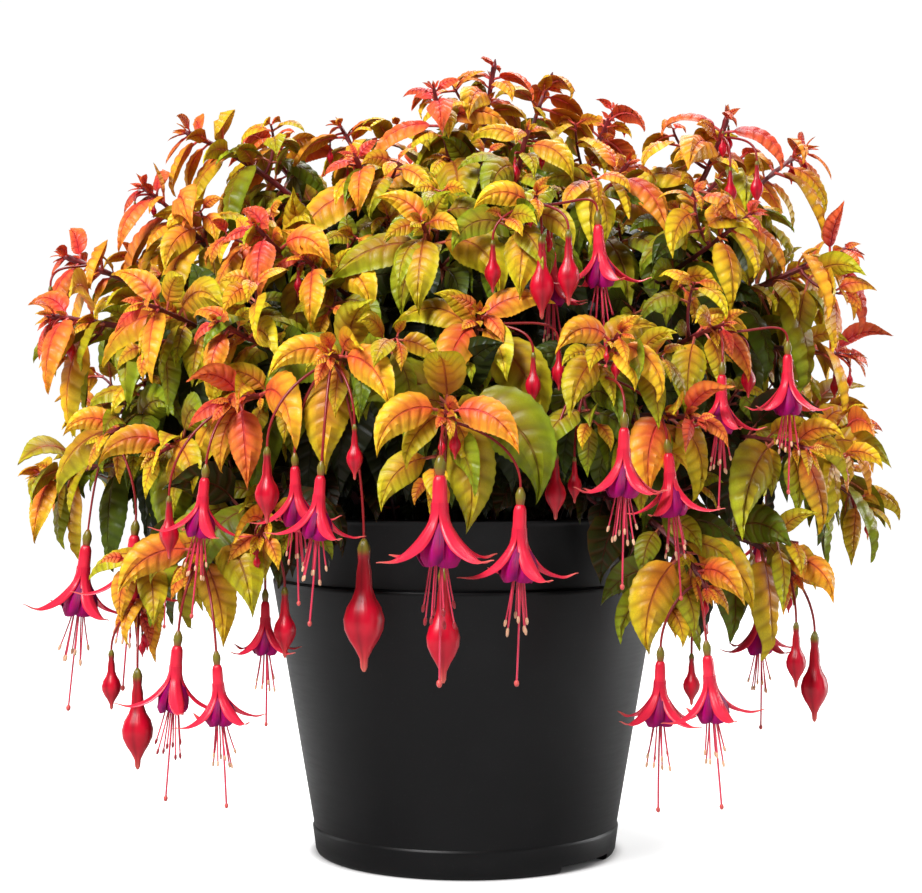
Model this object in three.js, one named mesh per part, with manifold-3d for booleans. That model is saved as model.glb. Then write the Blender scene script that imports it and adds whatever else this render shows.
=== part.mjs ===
// A trailing fuchsia in a black plastic pot: millimetres, +Z up, the pot's underside at z = 0 on the Z axis.
// Leafy stems root in the soil, arch outwards and bear opposite pairs of leaves. Flowers hang on thin stalks.
import * as THREE from "three";
import { mergeVertices } from "three/addons/utils/BufferGeometryUtils.js";
import Module from "manifold-3d";

const wasm = await Module();
wasm.setup();

const DEGREE = Math.PI / 180;
const UP = new THREE.Vector3(0, 0, 1);
const DOWN = new THREE.Vector3(0, 0, -1);
const NORTH = new THREE.Vector3(0, 1, 0);
const GAP = 0.35; // clearance between two pieces that touch on the real plant

// Pot
const POT_SIDES = 24;
const LEDGE_RADIUS = 100; // the pot's widest circle, the shoulder under the collar
const LEDGE_HEIGHT = 142;
const LEDGE_ROUND = 1.2;
const FOOT_RADIUS = 78;
const FOOT_BEVEL = 2.2;
const FOOT_BAND_HEIGHT = 14; // the plain band round the foot
const BAND_RADIUS = 79.6;
const BAND_STEP = 0.8;
const COLLAR_RADIUS = 96.5;
const RIM_HEIGHT = 176;
const RIM_BEAD = 1.6; // how far the rim's bead stands out of the collar
const WALL = 2.2;
const FLOOR = 6;
const NOTCH_HEIGHT = 3.6; // drainage channels under the floor, open at the foot
const NOTCH_WIDTH = 40;
const NOTCH_START = 34;
const NOTCH_ANGLES = [-38, 66, 170]; // degrees from +X
const DRAIN_RADIUS = 5;
const DRAIN_AT = 56;
const DRAIN_SIDES = 8;

// Soil
const SOIL_EDGE = 160;
const SOIL_CROWN = 165;
const ROOT_DEPTH = 12;
const STANDS_STRAIGHT = 15; // mm of a leader that stand straight up, from the bottom of its hole
const HOLE_MARGIN = 0.9; // a planting hole's corner radius over the stem's

// Stems
const SECTION_SIDES = 4; // a fuchsia's stems and flower tubes are nearly square
const CURVE_STEPS = 24; // steps along a centre line
const STEM_STEP = 60; // mm between a stem's rings where nothing grows from it
const LEADER_RADIUS = [3.0, 1.5]; // corner radius at the root and at the tip
const SHOOT_RADIUS = [2.0, 1.3];
const SHOOT_START = 8; // how far out from the leader's centre line a side shoot's own rings start
const SAME_PLACE = 1e-6;
const BUD_HALF = 1.1; // half the stretch of stem that a leaf or side shoot grows from
const FORK_ROOM = 5;
const FORK_ANGLE = 50; // degrees between leader and side shoot
const LEADER_RISE = 0.42; // share of a leader's span that it climbs straight up
const TIP_REACH = 0.36; // share of a stem's span over which it settles into its final direction
const FORK_REACH = 0.3;

// Leaf pairs, from the youngest at the stem's tip backwards
const PAIR_BACK = [2, 8, 20, 39, 64]; // mm back from the tip
const PAIR_SIZE = [0.42, 0.8, 1.05, 1.12, 1.05];
const PAIR_WIDTH = [0.4, 0.41, 0.44, 0.48, 0.5]; // of the leaf's length
const PAIR_ANGLE = [56, 64, 70, 76, 77]; // degrees between leaf stalk and stem
const PAIR_BEND = [1.1, 1.4, 1.6, 1.7, 1.65]; // radians that a level leaf arches down over its length
const UPRIGHT_BEND = 0.65; // how much of that arch a leaf keeps that stands straight up
const UPRIGHT_SIZE = 0.72; // and how long it is, against one that grows out level
const FACE = { along: 0.5, up: 0.9, out: 0.5 }; // how much a leaf faces its stem's tip, the sky and outwards
const LEAF_JITTER = 16; // degrees
const ROLL_JITTER = 0.3; // radians
const BEND_JITTER = 0.25;
const SIZE_JITTER = 0.1;
const LEAST_BEND = 0.05;
const ROOM_ON_STEM = 0.9; // share of a stem's length, back from its tip, that bears leaves
const BROAD_FOOT = 0.6; // a leaf's outline: the lower, the broader it starts
const SLENDER_TIP = 1.25; // and the higher, the longer it tapers
const LEAF_STALK = 0.13;
const LEAF_RIDGE = 0.4; // half thickness over the midrib
const LEAF_FOLD = 0.1; // how far the margins drop, per mm of half width
// Shares of the blade's length that get a ring, and how far the margin swells or dips there
const YOUNG_OUTLINE = [[0.34, 1]];
const PLAIN_OUTLINE = [[0.24, 1], [0.62, 1]];
const WAVED_OUTLINE = [[0.15, 1], [0.42, 1.02], [0.74, 0.95]];
const WAVED_WITHIN = -130; // large leaves rooted nearer the front than this y have the waved margin
const GUARD = 0.5; // clearance kept round each leaf and flower
const OWN_GUARD_START = 5; // leaves of one stem may meet this near their stalks
const GUARD_SIDES = 6;
// Turn in degrees, extra arch in radians and scale, tried in order until a leaf lies clear
const LEAF_TRIES = [
  [0, 0, 1],
  [18, 0, 1],
  [-18, 0, 1],
  [0, 0.4, 1],
  [0, -0.4, 0.95],
  [32, 0.1, 0.9],
  [-32, 0.1, 0.9],
  [18, -0.5, 0.8],
  [-18, -0.5, 0.8],
  [36, 0, 0.75],
  [-36, 0, 0.75],
  [0, 0.2, 0.6],
];

// Flower, measured down its own axis from the top of the ovary, at scale 1
const OVARY = { length: 7, radius: 2.4, neck: 2 };
const TUBE = { swell: 18, radius: 3.4, mouth: 3.1, end: 22 };
const SEPAL = {
  length: 33,
  width: 8.6,
  thickness: 0.9,
  from: 19.5,
  inset: 1.3,
  below: 60, // degrees below level where it leaves the tube
  lift: 0.9, // radians that it lifts over its length
  outline: [[0, 0.35], [0.32, 1], [0.7, 0.6]], // share of the length, share of the width
};
const COROLLA = {
  sides: 6,
  throat: [2.0, 2.7], // inner and outer radius
  top: 22.7,
  belly: [6.8, 30], // radius and how far down
  mouth: 6.4,
  hem: 38,
  wall: 0.8,
  scallop: 2.4,
};
const STAMEN = { end: 58, stagger: 2.5, spread: 5.2, radius: 0.4, head: 0.95, headLength: 3.4 };
const STYLE = { end: 78, spread: 0.8, radius: 0.42, head: 1.15, headLength: 3.4 };
const THREAD_ROOT = 1.1; // a thread's distance from the flower's axis where it leaves the tube
const THREAD_STEP = 0.15;
const FUSED_OVERLAP = 1; // how far a corolla reaches into its tube where the two are one piece
// Spin in degrees and sepal length scale, tried in order until a flower lies clear
const FLOWER_TRIES = [
  [0, 1],
  [22, 1],
  [45, 1],
  [67, 1],
  [11, 0.9],
  [34, 0.9],
  [56, 0.9],
  [79, 0.9],
  [0, 0.75],
  [22, 0.75],
  [45, 0.75],
  [67, 0.75],
];

// Bud: radius over length against the share of its length down from the ovary's top
const BUD_PROFILE = [
  [0.07, 0.045],
  [0.16, 0.034],
  [0.4, 0.055],
  [0.64, 0.135],
];
const STALK_CURVE_STEPS = 9;
const STALK_STEP = 18;
const STALK_RADIUS = 0.75;
const STALK_REACH = 0.45; // shares of a stalk's span that shape its arch
const STALK_SAG = 0.08;
const STALK_HANG = 0.4;
const LEVEL = [0, 0]; // the slope of what hangs straight down
const KNUCKLE = 1.35; // where the stalks of a cluster meet at the stem
const KNUCKLE_TURNS = [0, 30, -30, 60, -60, 90, -90, 120, -120, 150, -150, 180];
const KNUCKLE_REACHES = [1.9, 2.1, 2.3, 2.5, 2.7, 2.9, 3.1]; // from the stem's centre line
const SPRAY_SEED = 1000;
const SHOOT_SEED = 100;

// Each spray is a leader and its side shoots: root on the soil, tips, lift of the tip in degrees above level,
// pairs of leaves, length of a large leaf, first pair's turn about the stem, and where a side shoot forks.
const SPRAYS = [
  { name: "spray_front_centre", colour: "golden", root: [-4, -48], shoots: [
    { tip: [-9, -200, 226], lift: -8, pairs: 4, leaf: 60, spin: 80 },
    { tip: [6, -146, 272], lift: 28, pairs: 3, leaf: 58, spin: 20, from: 0.5 },
  ] },
  { name: "spray_front_left", colour: "golden", root: [-30, -42], shoots: [
    { tip: [-59, -178, 252], lift: 4, pairs: 4, leaf: 56, spin: 75 },
    { tip: [-106, -152, 232], lift: -12, pairs: 3, leaf: 56, spin: 10, from: 0.5 },
    { tip: [-112, -146, 268], lift: 20, pairs: 3, leaf: 40, spin: 50, from: 0.56 },
  ] },
  { name: "spray_front_right", colour: "golden", root: [24, -46], shoots: [
    { tip: [68, -160, 262], lift: 34, pairs: 4, leaf: 54, spin: 70 },
    { tip: [104, -146, 224], lift: -8, pairs: 3, leaf: 52, spin: 15, from: 0.52 },
  ] },
  { name: "spray_right_upper", colour: "orange", root: [34, -14], shoots: [
    { tip: [130, -46, 374], lift: 74, pairs: 4, leaf: 54, spin: 0 },
    { tip: [174, -16, 362], lift: 34, pairs: 4, leaf: 52, spin: 30, from: 0.66 },
    { tip: [136, -88, 322], lift: 34, pairs: 3, leaf: 46, spin: 60, from: 0.58 },
  ] },
  { name: "spray_right_mid", colour: "orange", root: [52, -20], shoots: [
    { tip: [188, -50, 308], lift: 22, pairs: 4, leaf: 54, spin: 10 },
    { tip: [120, -116, 268], lift: 14, pairs: 3, leaf: 42, spin: 70, from: 0.42 },
    { tip: [196, -26, 256], lift: -6, pairs: 3, leaf: 52, spin: 20, from: 0.6 },
  ] },
  { name: "spray_right_low", colour: "olive", root: [56, -42], shoots: [
    { tip: [194, -62, 218], lift: 2, pairs: 4, leaf: 50, spin: 60 },
    { tip: [160, -114, 210], lift: -14, pairs: 3, leaf: 54, spin: 20, from: 0.55 },
    { tip: [204, -30, 178], lift: -45, pairs: 3, leaf: 48, spin: 40, from: 0.7 },
  ] },
  { name: "spray_right_hanging", colour: "olive", root: [44, -62], shoots: [
    { tip: [108, -140, 148], lift: -58, pairs: 3, leaf: 52, spin: 15 },
    { tip: [156, -92, 150], lift: -50, pairs: 3, leaf: 54, spin: 60, from: 0.62 },
  ] },
  { name: "spray_left_hanging", colour: "olive", root: [-50, -58], shoots: [
    { tip: [-124, -142, 158], lift: -58, pairs: 3, leaf: 56, spin: 25 },
    { tip: [-154, -110, 134], lift: -62, pairs: 2, leaf: 46, spin: 70, from: 0.62 },
    { tip: [-92, -154, 172], lift: -48, pairs: 2, leaf: 48, spin: 20, from: 0.66 },
  ] },
  { name: "spray_left_low", colour: "green", root: [-62, -34], shoots: [
    { tip: [-214, -40, 196], lift: -6, pairs: 4, leaf: 50, spin: 50 },
    { tip: [-172, -92, 216], lift: -28, pairs: 3, leaf: 52, spin: 20, from: 0.6 },
    { tip: [-142, -122, 208], lift: -28, pairs: 3, leaf: 54, spin: 65, from: 0.52 },
  ] },
  { name: "spray_left_mid", colour: "green", root: [-52, -8], shoots: [
    { tip: [-202, -66, 274], lift: 6, pairs: 4, leaf: 62, spin: 70 },
    { tip: [-150, -112, 278], lift: 16, pairs: 3, leaf: 56, spin: 10, from: 0.52 },
  ] },
  { name: "spray_left_upper", colour: "orange", root: [-40, 8], shoots: [
    { tip: [-202, -32, 306], lift: 22, pairs: 4, leaf: 50, spin: 20 },
    { tip: [-162, -36, 340], lift: 34, pairs: 4, leaf: 50, spin: 70, from: 0.6 },
  ] },
  { name: "spray_left_top", colour: "orange", root: [-24, 14], shoots: [
    { tip: [-144, -6, 372], lift: 22, pairs: 4, leaf: 52, spin: 40 },
    { tip: [-98, -112, 314], lift: 38, pairs: 4, leaf: 46, spin: 10, from: 0.5 },
  ] },
  { name: "spray_top_left", colour: "golden", root: [-14, -14], shoots: [
    { tip: [-54, -62, 352], lift: 52, pairs: 4, leaf: 52, spin: 60 },
    { tip: [-76, -106, 300], lift: 30, pairs: 3, leaf: 52, spin: 20, from: 0.5 },
    { tip: [-66, 8, 378], lift: 58, pairs: 4, leaf: 44, spin: 80, from: 0.6 },
  ] },
  { name: "spray_top_centre", colour: "orange", root: [4, 6], shoots: [
    { tip: [15, 0, 408], lift: 80, pairs: 4, leaf: 46, spin: 10 },
    { tip: [-16, -34, 390], lift: 60, pairs: 4, leaf: 48, spin: 50, from: 0.66 },
    { tip: [46, 36, 408], lift: 62, pairs: 4, leaf: 46, spin: 70, from: 0.6 },
  ] },
  { name: "spray_top_front", colour: "green", root: [10, -26], shoots: [
    { tip: [30, -70, 364], lift: 58, pairs: 4, leaf: 46, spin: 30 },
    { tip: [32, -136, 326], lift: 38, pairs: 4, leaf: 48, spin: 75, from: 0.52 },
    { tip: [-20, -124, 314], lift: 24, pairs: 3, leaf: 60, spin: 15, from: 0.46 },
  ] },
  { name: "spray_top_right", colour: "golden", root: [24, 10], shoots: [
    { tip: [80, -54, 350], lift: 46, pairs: 4, leaf: 54, spin: 5 },
    { tip: [82, 62, 394], lift: 56, pairs: 4, leaf: 42, spin: 40, from: 0.5 },
  ] },
  { name: "spray_back_left_upper", colour: "orange", root: [-30, 34], shoots: [
    { tip: [-116, 96, 336], lift: 38, pairs: 4, leaf: 48, spin: 30 },
    { tip: [-176, 48, 302], lift: 20, pairs: 3, leaf: 48, spin: 60, from: 0.56 },
    { tip: [-56, 98, 376], lift: 54, pairs: 4, leaf: 44, spin: 10, from: 0.6 },
    { tip: [-112, 46, 374], lift: 40, pairs: 3, leaf: 50, spin: 40, from: 0.48 },
    { tip: [-136, 118, 286], lift: 16, pairs: 3, leaf: 50, spin: 20, from: 0.42 },
  ] },
  { name: "spray_back_right_upper", colour: "golden", root: [34, 34], shoots: [
    { tip: [118, 98, 340], lift: 38, pairs: 4, leaf: 48, spin: 50 },
    { tip: [194, 40, 306], lift: 18, pairs: 3, leaf: 50, spin: 10, from: 0.56 },
    { tip: [46, 128, 366], lift: 50, pairs: 4, leaf: 44, spin: 70, from: 0.6 },
    { tip: [150, 44, 366], lift: 40, pairs: 3, leaf: 50, spin: 20, from: 0.48 },
    { tip: [142, 116, 284], lift: 16, pairs: 3, leaf: 50, spin: 60, from: 0.42 },
  ] },
  { name: "spray_back_centre", colour: "golden", root: [0, 44], shoots: [
    { tip: [-4, 166, 322], lift: 28, pairs: 4, leaf: 50, spin: 20 },
    { tip: [-68, 164, 272], lift: 10, pairs: 3, leaf: 52, spin: 65, from: 0.52 },
    { tip: [66, 166, 276], lift: 10, pairs: 3, leaf: 52, spin: 35, from: 0.52 },
    { tip: [-8, 112, 368], lift: 56, pairs: 3, leaf: 46, spin: 50, from: 0.6 },
  ] },
  { name: "spray_back_left_low", colour: "olive", root: [-48, 38], shoots: [
    { tip: [-164, 122, 218], lift: -18, pairs: 4, leaf: 52, spin: 45 },
    { tip: [-206, 38, 226], lift: -8, pairs: 3, leaf: 50, spin: 15, from: 0.58 },
    { tip: [-108, 176, 200], lift: -28, pairs: 3, leaf: 50, spin: 70, from: 0.6 },
  ] },
  { name: "spray_back_right_low", colour: "olive", root: [52, 38], shoots: [
    { tip: [166, 116, 218], lift: -18, pairs: 4, leaf: 52, spin: 25 },
    { tip: [206, 34, 224], lift: -8, pairs: 3, leaf: 50, spin: 75, from: 0.58 },
    { tip: [108, 174, 204], lift: -28, pairs: 3, leaf: 50, spin: 50, from: 0.6 },
  ] },
  { name: "spray_back_low", colour: "green", root: [4, 66], shoots: [
    { tip: [-26, 204, 192], lift: -34, pairs: 3, leaf: 52, spin: 15 },
    { tip: [52, 196, 184], lift: -48, pairs: 3, leaf: 50, spin: 60, from: 0.62 },
    { tip: [14, 188, 246], lift: 4, pairs: 3, leaf: 50, spin: 35, from: 0.52 },
  ] },
];

// Clusters of flowers and buds. on is [spray, shoot], and back how far from that shoot's tip they hang.
// A flower is the top of its ovary, its scale, its spin in degrees and its axis' slope.
// A bud is its top and length.
// A cluster of buds alone grows on its stem and is part of the spray.
const CLUSTERS = [
  { name: "bloom_front_centre", on: ["spray_front_centre", 0], back: 4,
    flowers: [
      { top: [-11, -214, 209], scale: 1.2, spin: 40, lean: [-0.01, 0] },
      { top: [23, -198, 195], scale: 1.05, spin: 50, lean: [-0.03, 0] },
    ],
    buds: [{ top: [-10, -184, 160], length: 50 }] },
  { name: "bloom_front_left", on: ["spray_front_left", 0], back: 4,
    flowers: [
      { top: [-62, -190, 206], scale: 0.88, spin: 30, lean: [-0.08, 0] },
      { top: [-76, -160, 209], scale: 0.84, spin: 10, lean: [0.02, 0] },
    ],
    buds: [
      { top: [-86, -184, 212], length: 33 },
      { top: [-48, -188, 222], length: 24 },
      { top: [-45, -168, 171], length: 58 },
    ] },
  { name: "bloom_front_right", on: ["spray_front_right", 0], back: 32,
    flowers: [
      { top: [69, -174, 227], scale: 0.96, spin: 35, lean: [-0.02, 0] },
      { top: [90, -150, 215], scale: 0.9, spin: 60, lean: [0.08, 0] },
    ],
    buds: [
      { top: [40, -150, 209], length: 30 },
      { top: [49, -142, 207], length: 21 },
    ] },
  { name: "bloom_top_front", on: ["spray_top_front", 1], back: 4,
    flowers: [
      { top: [60, -130, 319], scale: 0.9, spin: 20, lean: [0.05, 0] },
      { top: [40, -112, 308], scale: 0.82, spin: 40, lean: [0, 0] },
    ],
    buds: [
      { top: [34, -145, 307], length: 38 },
      { top: [46, -146, 309], length: 34 },
      { top: [12, -141, 305], length: 24 },
    ] },
  { name: "bloom_right_mid", on: ["spray_right_mid", 1], back: 4,
    flowers: [
      { top: [149, -118, 260], scale: 0.88, spin: 45, lean: [0, 0] },
      { top: [117, -132, 250], scale: 0.84, spin: 20, lean: [-0.03, 0] },
    ],
    buds: [{ top: [133, -102, 256], length: 22 }] },
  { name: "bloom_right_hanging", on: ["spray_right_hanging", 0], back: 3,
    flowers: [
      { top: [88, -142, 121], scale: 0.93, spin: 40, lean: [-0.02, 0] },
      { top: [105, -172, 127], scale: 0.92, spin: 20, lean: [0.09, 0] },
    ],
    buds: [{ top: [104, -124, 116], length: 24 }] },
  { name: "bloom_right_end", on: ["spray_right_hanging", 1], back: 3,
    flowers: [{ top: [144, -66, 143], scale: 0.88, spin: 30, lean: [0, 0], fused: true }],
    buds: [
      { top: [156, -101, 128], length: 31 },
      { top: [167, -88, 122], length: 43 },
    ] },
  { name: "bloom_left_hanging", on: ["spray_left_hanging", 0], back: 3,
    flowers: [
      { top: [-129, -150, 129], scale: 0.95, spin: 15, lean: [-0.08, 0] },
      { top: [-110, -168, 122], scale: 0.86, spin: 40, lean: [0.06, 0] },
    ],
    buds: [] },
  { name: "bloom_left_low", on: ["spray_left_low", 1], back: 3,
    flowers: [
      { top: [-184, -70, 170], scale: 1.1, spin: 40, lean: [-0.12, 0] },
      { top: [-156, -100, 176], scale: 1.0, spin: 10, lean: [-0.08, 0] },
    ],
    buds: [] },
  { name: "bloom_left_mid", on: ["spray_front_left", 1], back: 4,
    flowers: [{ top: [-115, -162, 204], scale: 0.85, spin: 25, lean: [-0.1, 0] }],
    buds: [{ top: [-132, -158, 190], length: 28 }] },
  { name: "bloom_left_inner", on: ["spray_left_hanging", 2], back: 3,
    flowers: [{ top: [-92, -130, 146], scale: 0.78, spin: 45, lean: [0, 0], fused: true }],
    buds: [{ top: [-82, -142, 148], length: 32 }] },
  { name: "bloom_back_left", on: ["spray_back_left_low", 0], back: 3,
    flowers: [
      { top: [-172, 124, 178], scale: 0.95, spin: 20, lean: [-0.05, 0.04] },
      { top: [-142, 150, 170], scale: 0.9, spin: 50, lean: [0, 0.06] },
    ],
    buds: [{ top: [-166, 96, 176], length: 30 }] },
  { name: "bloom_back_right", on: ["spray_back_right_low", 0], back: 3,
    flowers: [
      { top: [172, 120, 176], scale: 0.95, spin: 70, lean: [0.05, 0.04] },
      { top: [144, 148, 168], scale: 0.9, spin: 30, lean: [0, 0.06] },
    ],
    buds: [{ top: [170, 90, 176], length: 30 }] },
  { name: "bloom_back", on: ["spray_back_low", 0], back: 3,
    flowers: [{ top: [-30, 212, 152], scale: 0.95, spin: 40, lean: [0, 0.05] }],
    buds: [{ top: [-8, 204, 150], length: 34 }] },
  { on: ["spray_front_centre", 1], back: 8, flowers: [],
    buds: [
      { top: [30, -150, 254], length: 24 },
      { top: [42, -140, 258], length: 21 },
    ] },
  { on: ["spray_left_hanging", 1], back: 3, flowers: [],
    buds: [
      { top: [-150, -134, 110], length: 46 },
      { top: [-166, -110, 116], length: 28 },
    ] },
  { on: ["spray_left_upper", 0], back: 12, flowers: [], buds: [{ top: [-206, -50, 290], length: 22 }] },
  { on: ["spray_right_upper", 0], back: 10, flowers: [],
    buds: [
      { top: [142, -66, 350], length: 22 },
      { top: [128, -74, 346], length: 20 },
    ] },
];

const FINISHES = {
  pot: { color: 0x1d1d1e, roughness: 0.45, metalness: 0 },
  soil: { color: 0x3a281c, roughness: 0.95, metalness: 0 },
  golden: { color: 0xd9a52c, roughness: 0.5, metalness: 0 },
  orange: { color: 0xd9793a, roughness: 0.5, metalness: 0 },
  green: { color: 0x7f9a2b, roughness: 0.5, metalness: 0 },
  olive: { color: 0x9a8a2c, roughness: 0.5, metalness: 0 },
  bloom: { color: 0xe0243f, roughness: 0.4, metalness: 0 },
  corolla: { color: 0x6d1267, roughness: 0.5, metalness: 0 },
};

const vector = (list) => new THREE.Vector3(...list);
const circle = (turn) => new THREE.Vector3(Math.cos(turn), Math.sin(turn), 0);
const middle = (points) => points.reduce((sum, point) => sum.add(point), new THREE.Vector3())
  .divideScalar(points.length);

// A seeded series of numbers from -1 to 1
function draws(seed) {
  let state = seed >>> 0;
  return () => {
    state = (state + 0x6d2b79f5) >>> 0;
    let t = Math.imul(state ^ (state >>> 15), 1 | state);
    t = (t + Math.imul(t ^ (t >>> 7), 61 | t)) ^ t;
    return ((t ^ (t >>> 14)) >>> 0) / 2147483648 - 1;
  };
}

// A surface that is grown ring by ring. Rings run counter-clockwise, seen from where the growth leads.
class Skin {
  points = [];
  faces = [];

  ring(points) {
    this.points.push(...points);
    return points.map((_, i) => this.points.length - points.length + i);
  }

  // The side faces from one ring to the next of as many points, but for those left open
  wall(from, to, open = []) {
    from.forEach((a, i) => {
      const j = (i + 1) % from.length;
      if (!open.includes(i)) this.faces.push([a, from[j], to[j]], [a, to[j], to[i]]);
    });
  }

  // The side faces between two rings of unlike counts or turns, matched as seen along the line through both
  join(from, to) {
    const rings = [from, to].map((ring) => ring.map((i) => this.points[i]));
    const centres = rings.map(middle);
    const axis = centres[1].clone().sub(centres[0]).normalize();
    const seen = rings.map((points, r) => points.map((point) => (
      point.clone().sub(centres[r]).projectOnPlane(axis).normalize()
    )));
    const apart = (i, j) => seen[0][i % from.length].distanceTo(seen[1][j % to.length]);
    const starts = from.flatMap((_, i) => to.map((__, j) => [i, j]));
    let [i, j] = starts.reduce((best, next) => (apart(...next) < apart(...best) ? next : best));
    const ends = [i + from.length, j + to.length];
    while (i < ends[0] || j < ends[1]) {
      const a = from[i % from.length];
      const b = to[j % to.length];
      if (j === ends[1] || (i < ends[0] && apart(i + 1, j) < apart(i, j + 1))) {
        this.faces.push([a, from[(i + 1) % from.length], b]);
        i += 1;
      } else {
        this.faces.push([a, to[(j + 1) % to.length], b]);
        j += 1;
      }
    }
  }

  tip(ring, point) {
    const [end] = this.ring([point]);
    ring.forEach((a, i) => this.faces.push([a, ring[(i + 1) % ring.length], end]));
  }

  // Closes the ring that the growth starts from
  start(ring) {
    for (let i = 2; i < ring.length; i++) this.faces.push([ring[0], ring[i], ring[i - 1]]);
    return ring;
  }

  solid() {
    return new wasm.Manifold(new wasm.Mesh({
      numProp: 3,
      vertProperties: new Float32Array(this.points.flatMap((point) => point.toArray())),
      triVerts: new Uint32Array(this.faces.flat()),
    }));
  }
}

// A closed run of rings of as many points, which ends in a point
function loft(rings, tip) {
  const skin = new Skin();
  let last = skin.start(skin.ring(rings[0]));
  rings.slice(1).forEach((points) => {
    const next = skin.ring(points);
    skin.wall(last, next);
    last = next;
  });
  skin.tip(last, tip);
  return skin.solid();
}

// A closed geometry as a solid
function solidOf(geometry, matrix = new THREE.Matrix4()) {
  const bare = geometry.clone().applyMatrix4(matrix);
  bare.deleteAttribute("normal");
  bare.deleteAttribute("uv");
  const merged = mergeVertices(bare, 1e-4);
  const faces = [];
  for (let i = 0; i < merged.index.count; i += 3) {
    const corners = [0, 1, 2].map((k) => merged.index.getX(i + k));
    if (new Set(corners).size === 3) faces.push(...corners);
  }
  return new wasm.Manifold(new wasm.Mesh({
    numProp: 3,
    vertProperties: merged.attributes.position.array,
    triVerts: new Uint32Array(faces),
  }));
}

// A profile of [radius, height] from the bottom up, turned about +Z
function turned(profile, sides) {
  const points = profile.map(([radius, height]) => new THREE.Vector2(radius, height));
  return new THREE.LatheGeometry(points, sides).rotateX(Math.PI / 2);
}

const union = (solids) => solids.reduce((all, next) => all.add(next));

// What stands already, as plain solids, so that each new leaf or flower can be kept clear of it
const obstacles = [];

function boxOf(solid) {
  const { min, max } = solid.boundingBox();
  return new THREE.Box3(vector(min), vector(max));
}

function obstruct(node, kind, solid) {
  obstacles.push({ node, kind, solid, box: boxOf(solid) });
}

function isClear(solid, counts) {
  const box = boxOf(solid);
  return !obstacles.some((item) => (
    counts(item) && item.box.intersectsBox(box) && !item.solid.intersect(solid).isEmpty()
  ));
}

// A stem's centre line, with directions across it and above it that are carried along without twist
class Stem {
  constructor(points, across) {
    this.length = 0;
    this.spans = points.slice(1).map((point, i) => {
      const tangent = point.clone().sub(points[i]);
      const span = { from: points[i], tangent, at: this.length };
      this.length += tangent.length();
      tangent.normalize();
      across = across.clone().addScaledVector(tangent, -tangent.dot(across)).normalize();
      return { ...span, across };
    });
  }

  at(distance) {
    const span = this.spans.findLast(({ at }) => at <= distance) ?? this.spans[0];
    const { from, tangent, across } = span;
    const point = from.clone().addScaledVector(tangent, distance - span.at);
    return { point, tangent, across, above: tangent.clone().cross(across) };
  }

  // The corners of its section. Side k faces spin + 90 (k + 1) degrees from across towards above.
  corners(distance, radius, spin) {
    const { point, across, above } = this.at(distance);
    return Array.from({ length: SECTION_SIDES }, (_, k) => {
      const turn = (spin + 45 + k * 90) * DEGREE;
      return point.clone()
        .addScaledVector(across, radius * Math.cos(turn))
        .addScaledVector(above, radius * Math.sin(turn));
    });
  }
}

function curvePoints(start, leave, tip, lift) {
  const rise = lift * DEGREE;
  const outward = new THREE.Vector3(tip.x, tip.y, 0).normalize();
  const arrival = outward.multiplyScalar(Math.cos(rise)).addScaledVector(UP, Math.sin(rise));
  const settle = tip.clone().addScaledVector(arrival, -tip.distanceTo(start) * TIP_REACH);
  return new THREE.CubicBezierCurve3(start, leave, settle, tip).getPoints(CURVE_STEPS);
}

// A leader stands straight up out of its hole, and then arches outwards
function leaderStem({ root: [x, y], shoots: [{ tip: tipList, lift }] }) {
  const tip = vector(tipList);
  const root = new THREE.Vector3(x, y, SOIL_CROWN - ROOT_DEPTH);
  const collar = root.clone().addScaledVector(UP, STANDS_STRAIGHT);
  const rise = collar.clone().addScaledVector(UP, tip.distanceTo(collar) * LEADER_RISE);
  const level = new THREE.Vector3(tip.x - x, tip.y - y, 0).normalize();
  return new Stem([root, ...curvePoints(collar, rise, tip, lift)], UP.clone().cross(level));
}

// Where a side shoot forks off, kept away from the leader's own leaves
function forkOf(leader, [{ pairs }], from) {
  const nodes = PAIR_BACK.slice(0, pairs).map((back) => leader.length - back);
  let at = leader.length * from;
  while (nodes.some((node) => Math.abs(node - at) < FORK_ROOM)) at -= 1;
  return at;
}

function sideStem(leader, at, { tip: tipList, lift }) {
  const tip = vector(tipList);
  const { point, tangent } = leader.at(at);
  const span = tip.clone().sub(point);
  const aside = span.clone().addScaledVector(tangent, -tangent.dot(span)).normalize();
  const leave = point.clone()
    .addScaledVector(tangent, span.length() * FORK_REACH * Math.cos(FORK_ANGLE * DEGREE))
    .addScaledVector(aside, span.length() * FORK_REACH * Math.sin(FORK_ANGLE * DEGREE));
  return new Stem(curvePoints(point, leave, tip, lift), UP.clone().cross(aside).normalize());
}

// How far along a stem its rings stand: both ends of each short stretch that something grows from, and steps
function stationsOf(stem, start, nodes) {
  const steps = Math.ceil((stem.length - start) / STEM_STEP);
  const plain = Array.from({ length: steps }, (_, i) => start + ((stem.length - start) * i) / steps)
    .filter((at) => nodes.every((node) => Math.abs(node - at) > 3 * BUD_HALF));
  const ends = [...new Set(nodes)].flatMap((at) => [at - BUD_HALF, at + BUD_HALF]);
  return [...plain, ...ends].sort((a, b) => a - b);
}

function stemRing({ stem, radii, spin }, at) {
  return stem.corners(at, THREE.MathUtils.lerp(radii[0], radii[1], at / stem.length), spin);
}

// The patch on one side of a stem, between two of its rings, that a leaf or side shoot grows from
function budPatch(lower, upper, side) {
  const beside = (side + 1) % SECTION_SIDES;
  return [lower[side], lower[beside], upper[beside], upper[side]];
}

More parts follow.
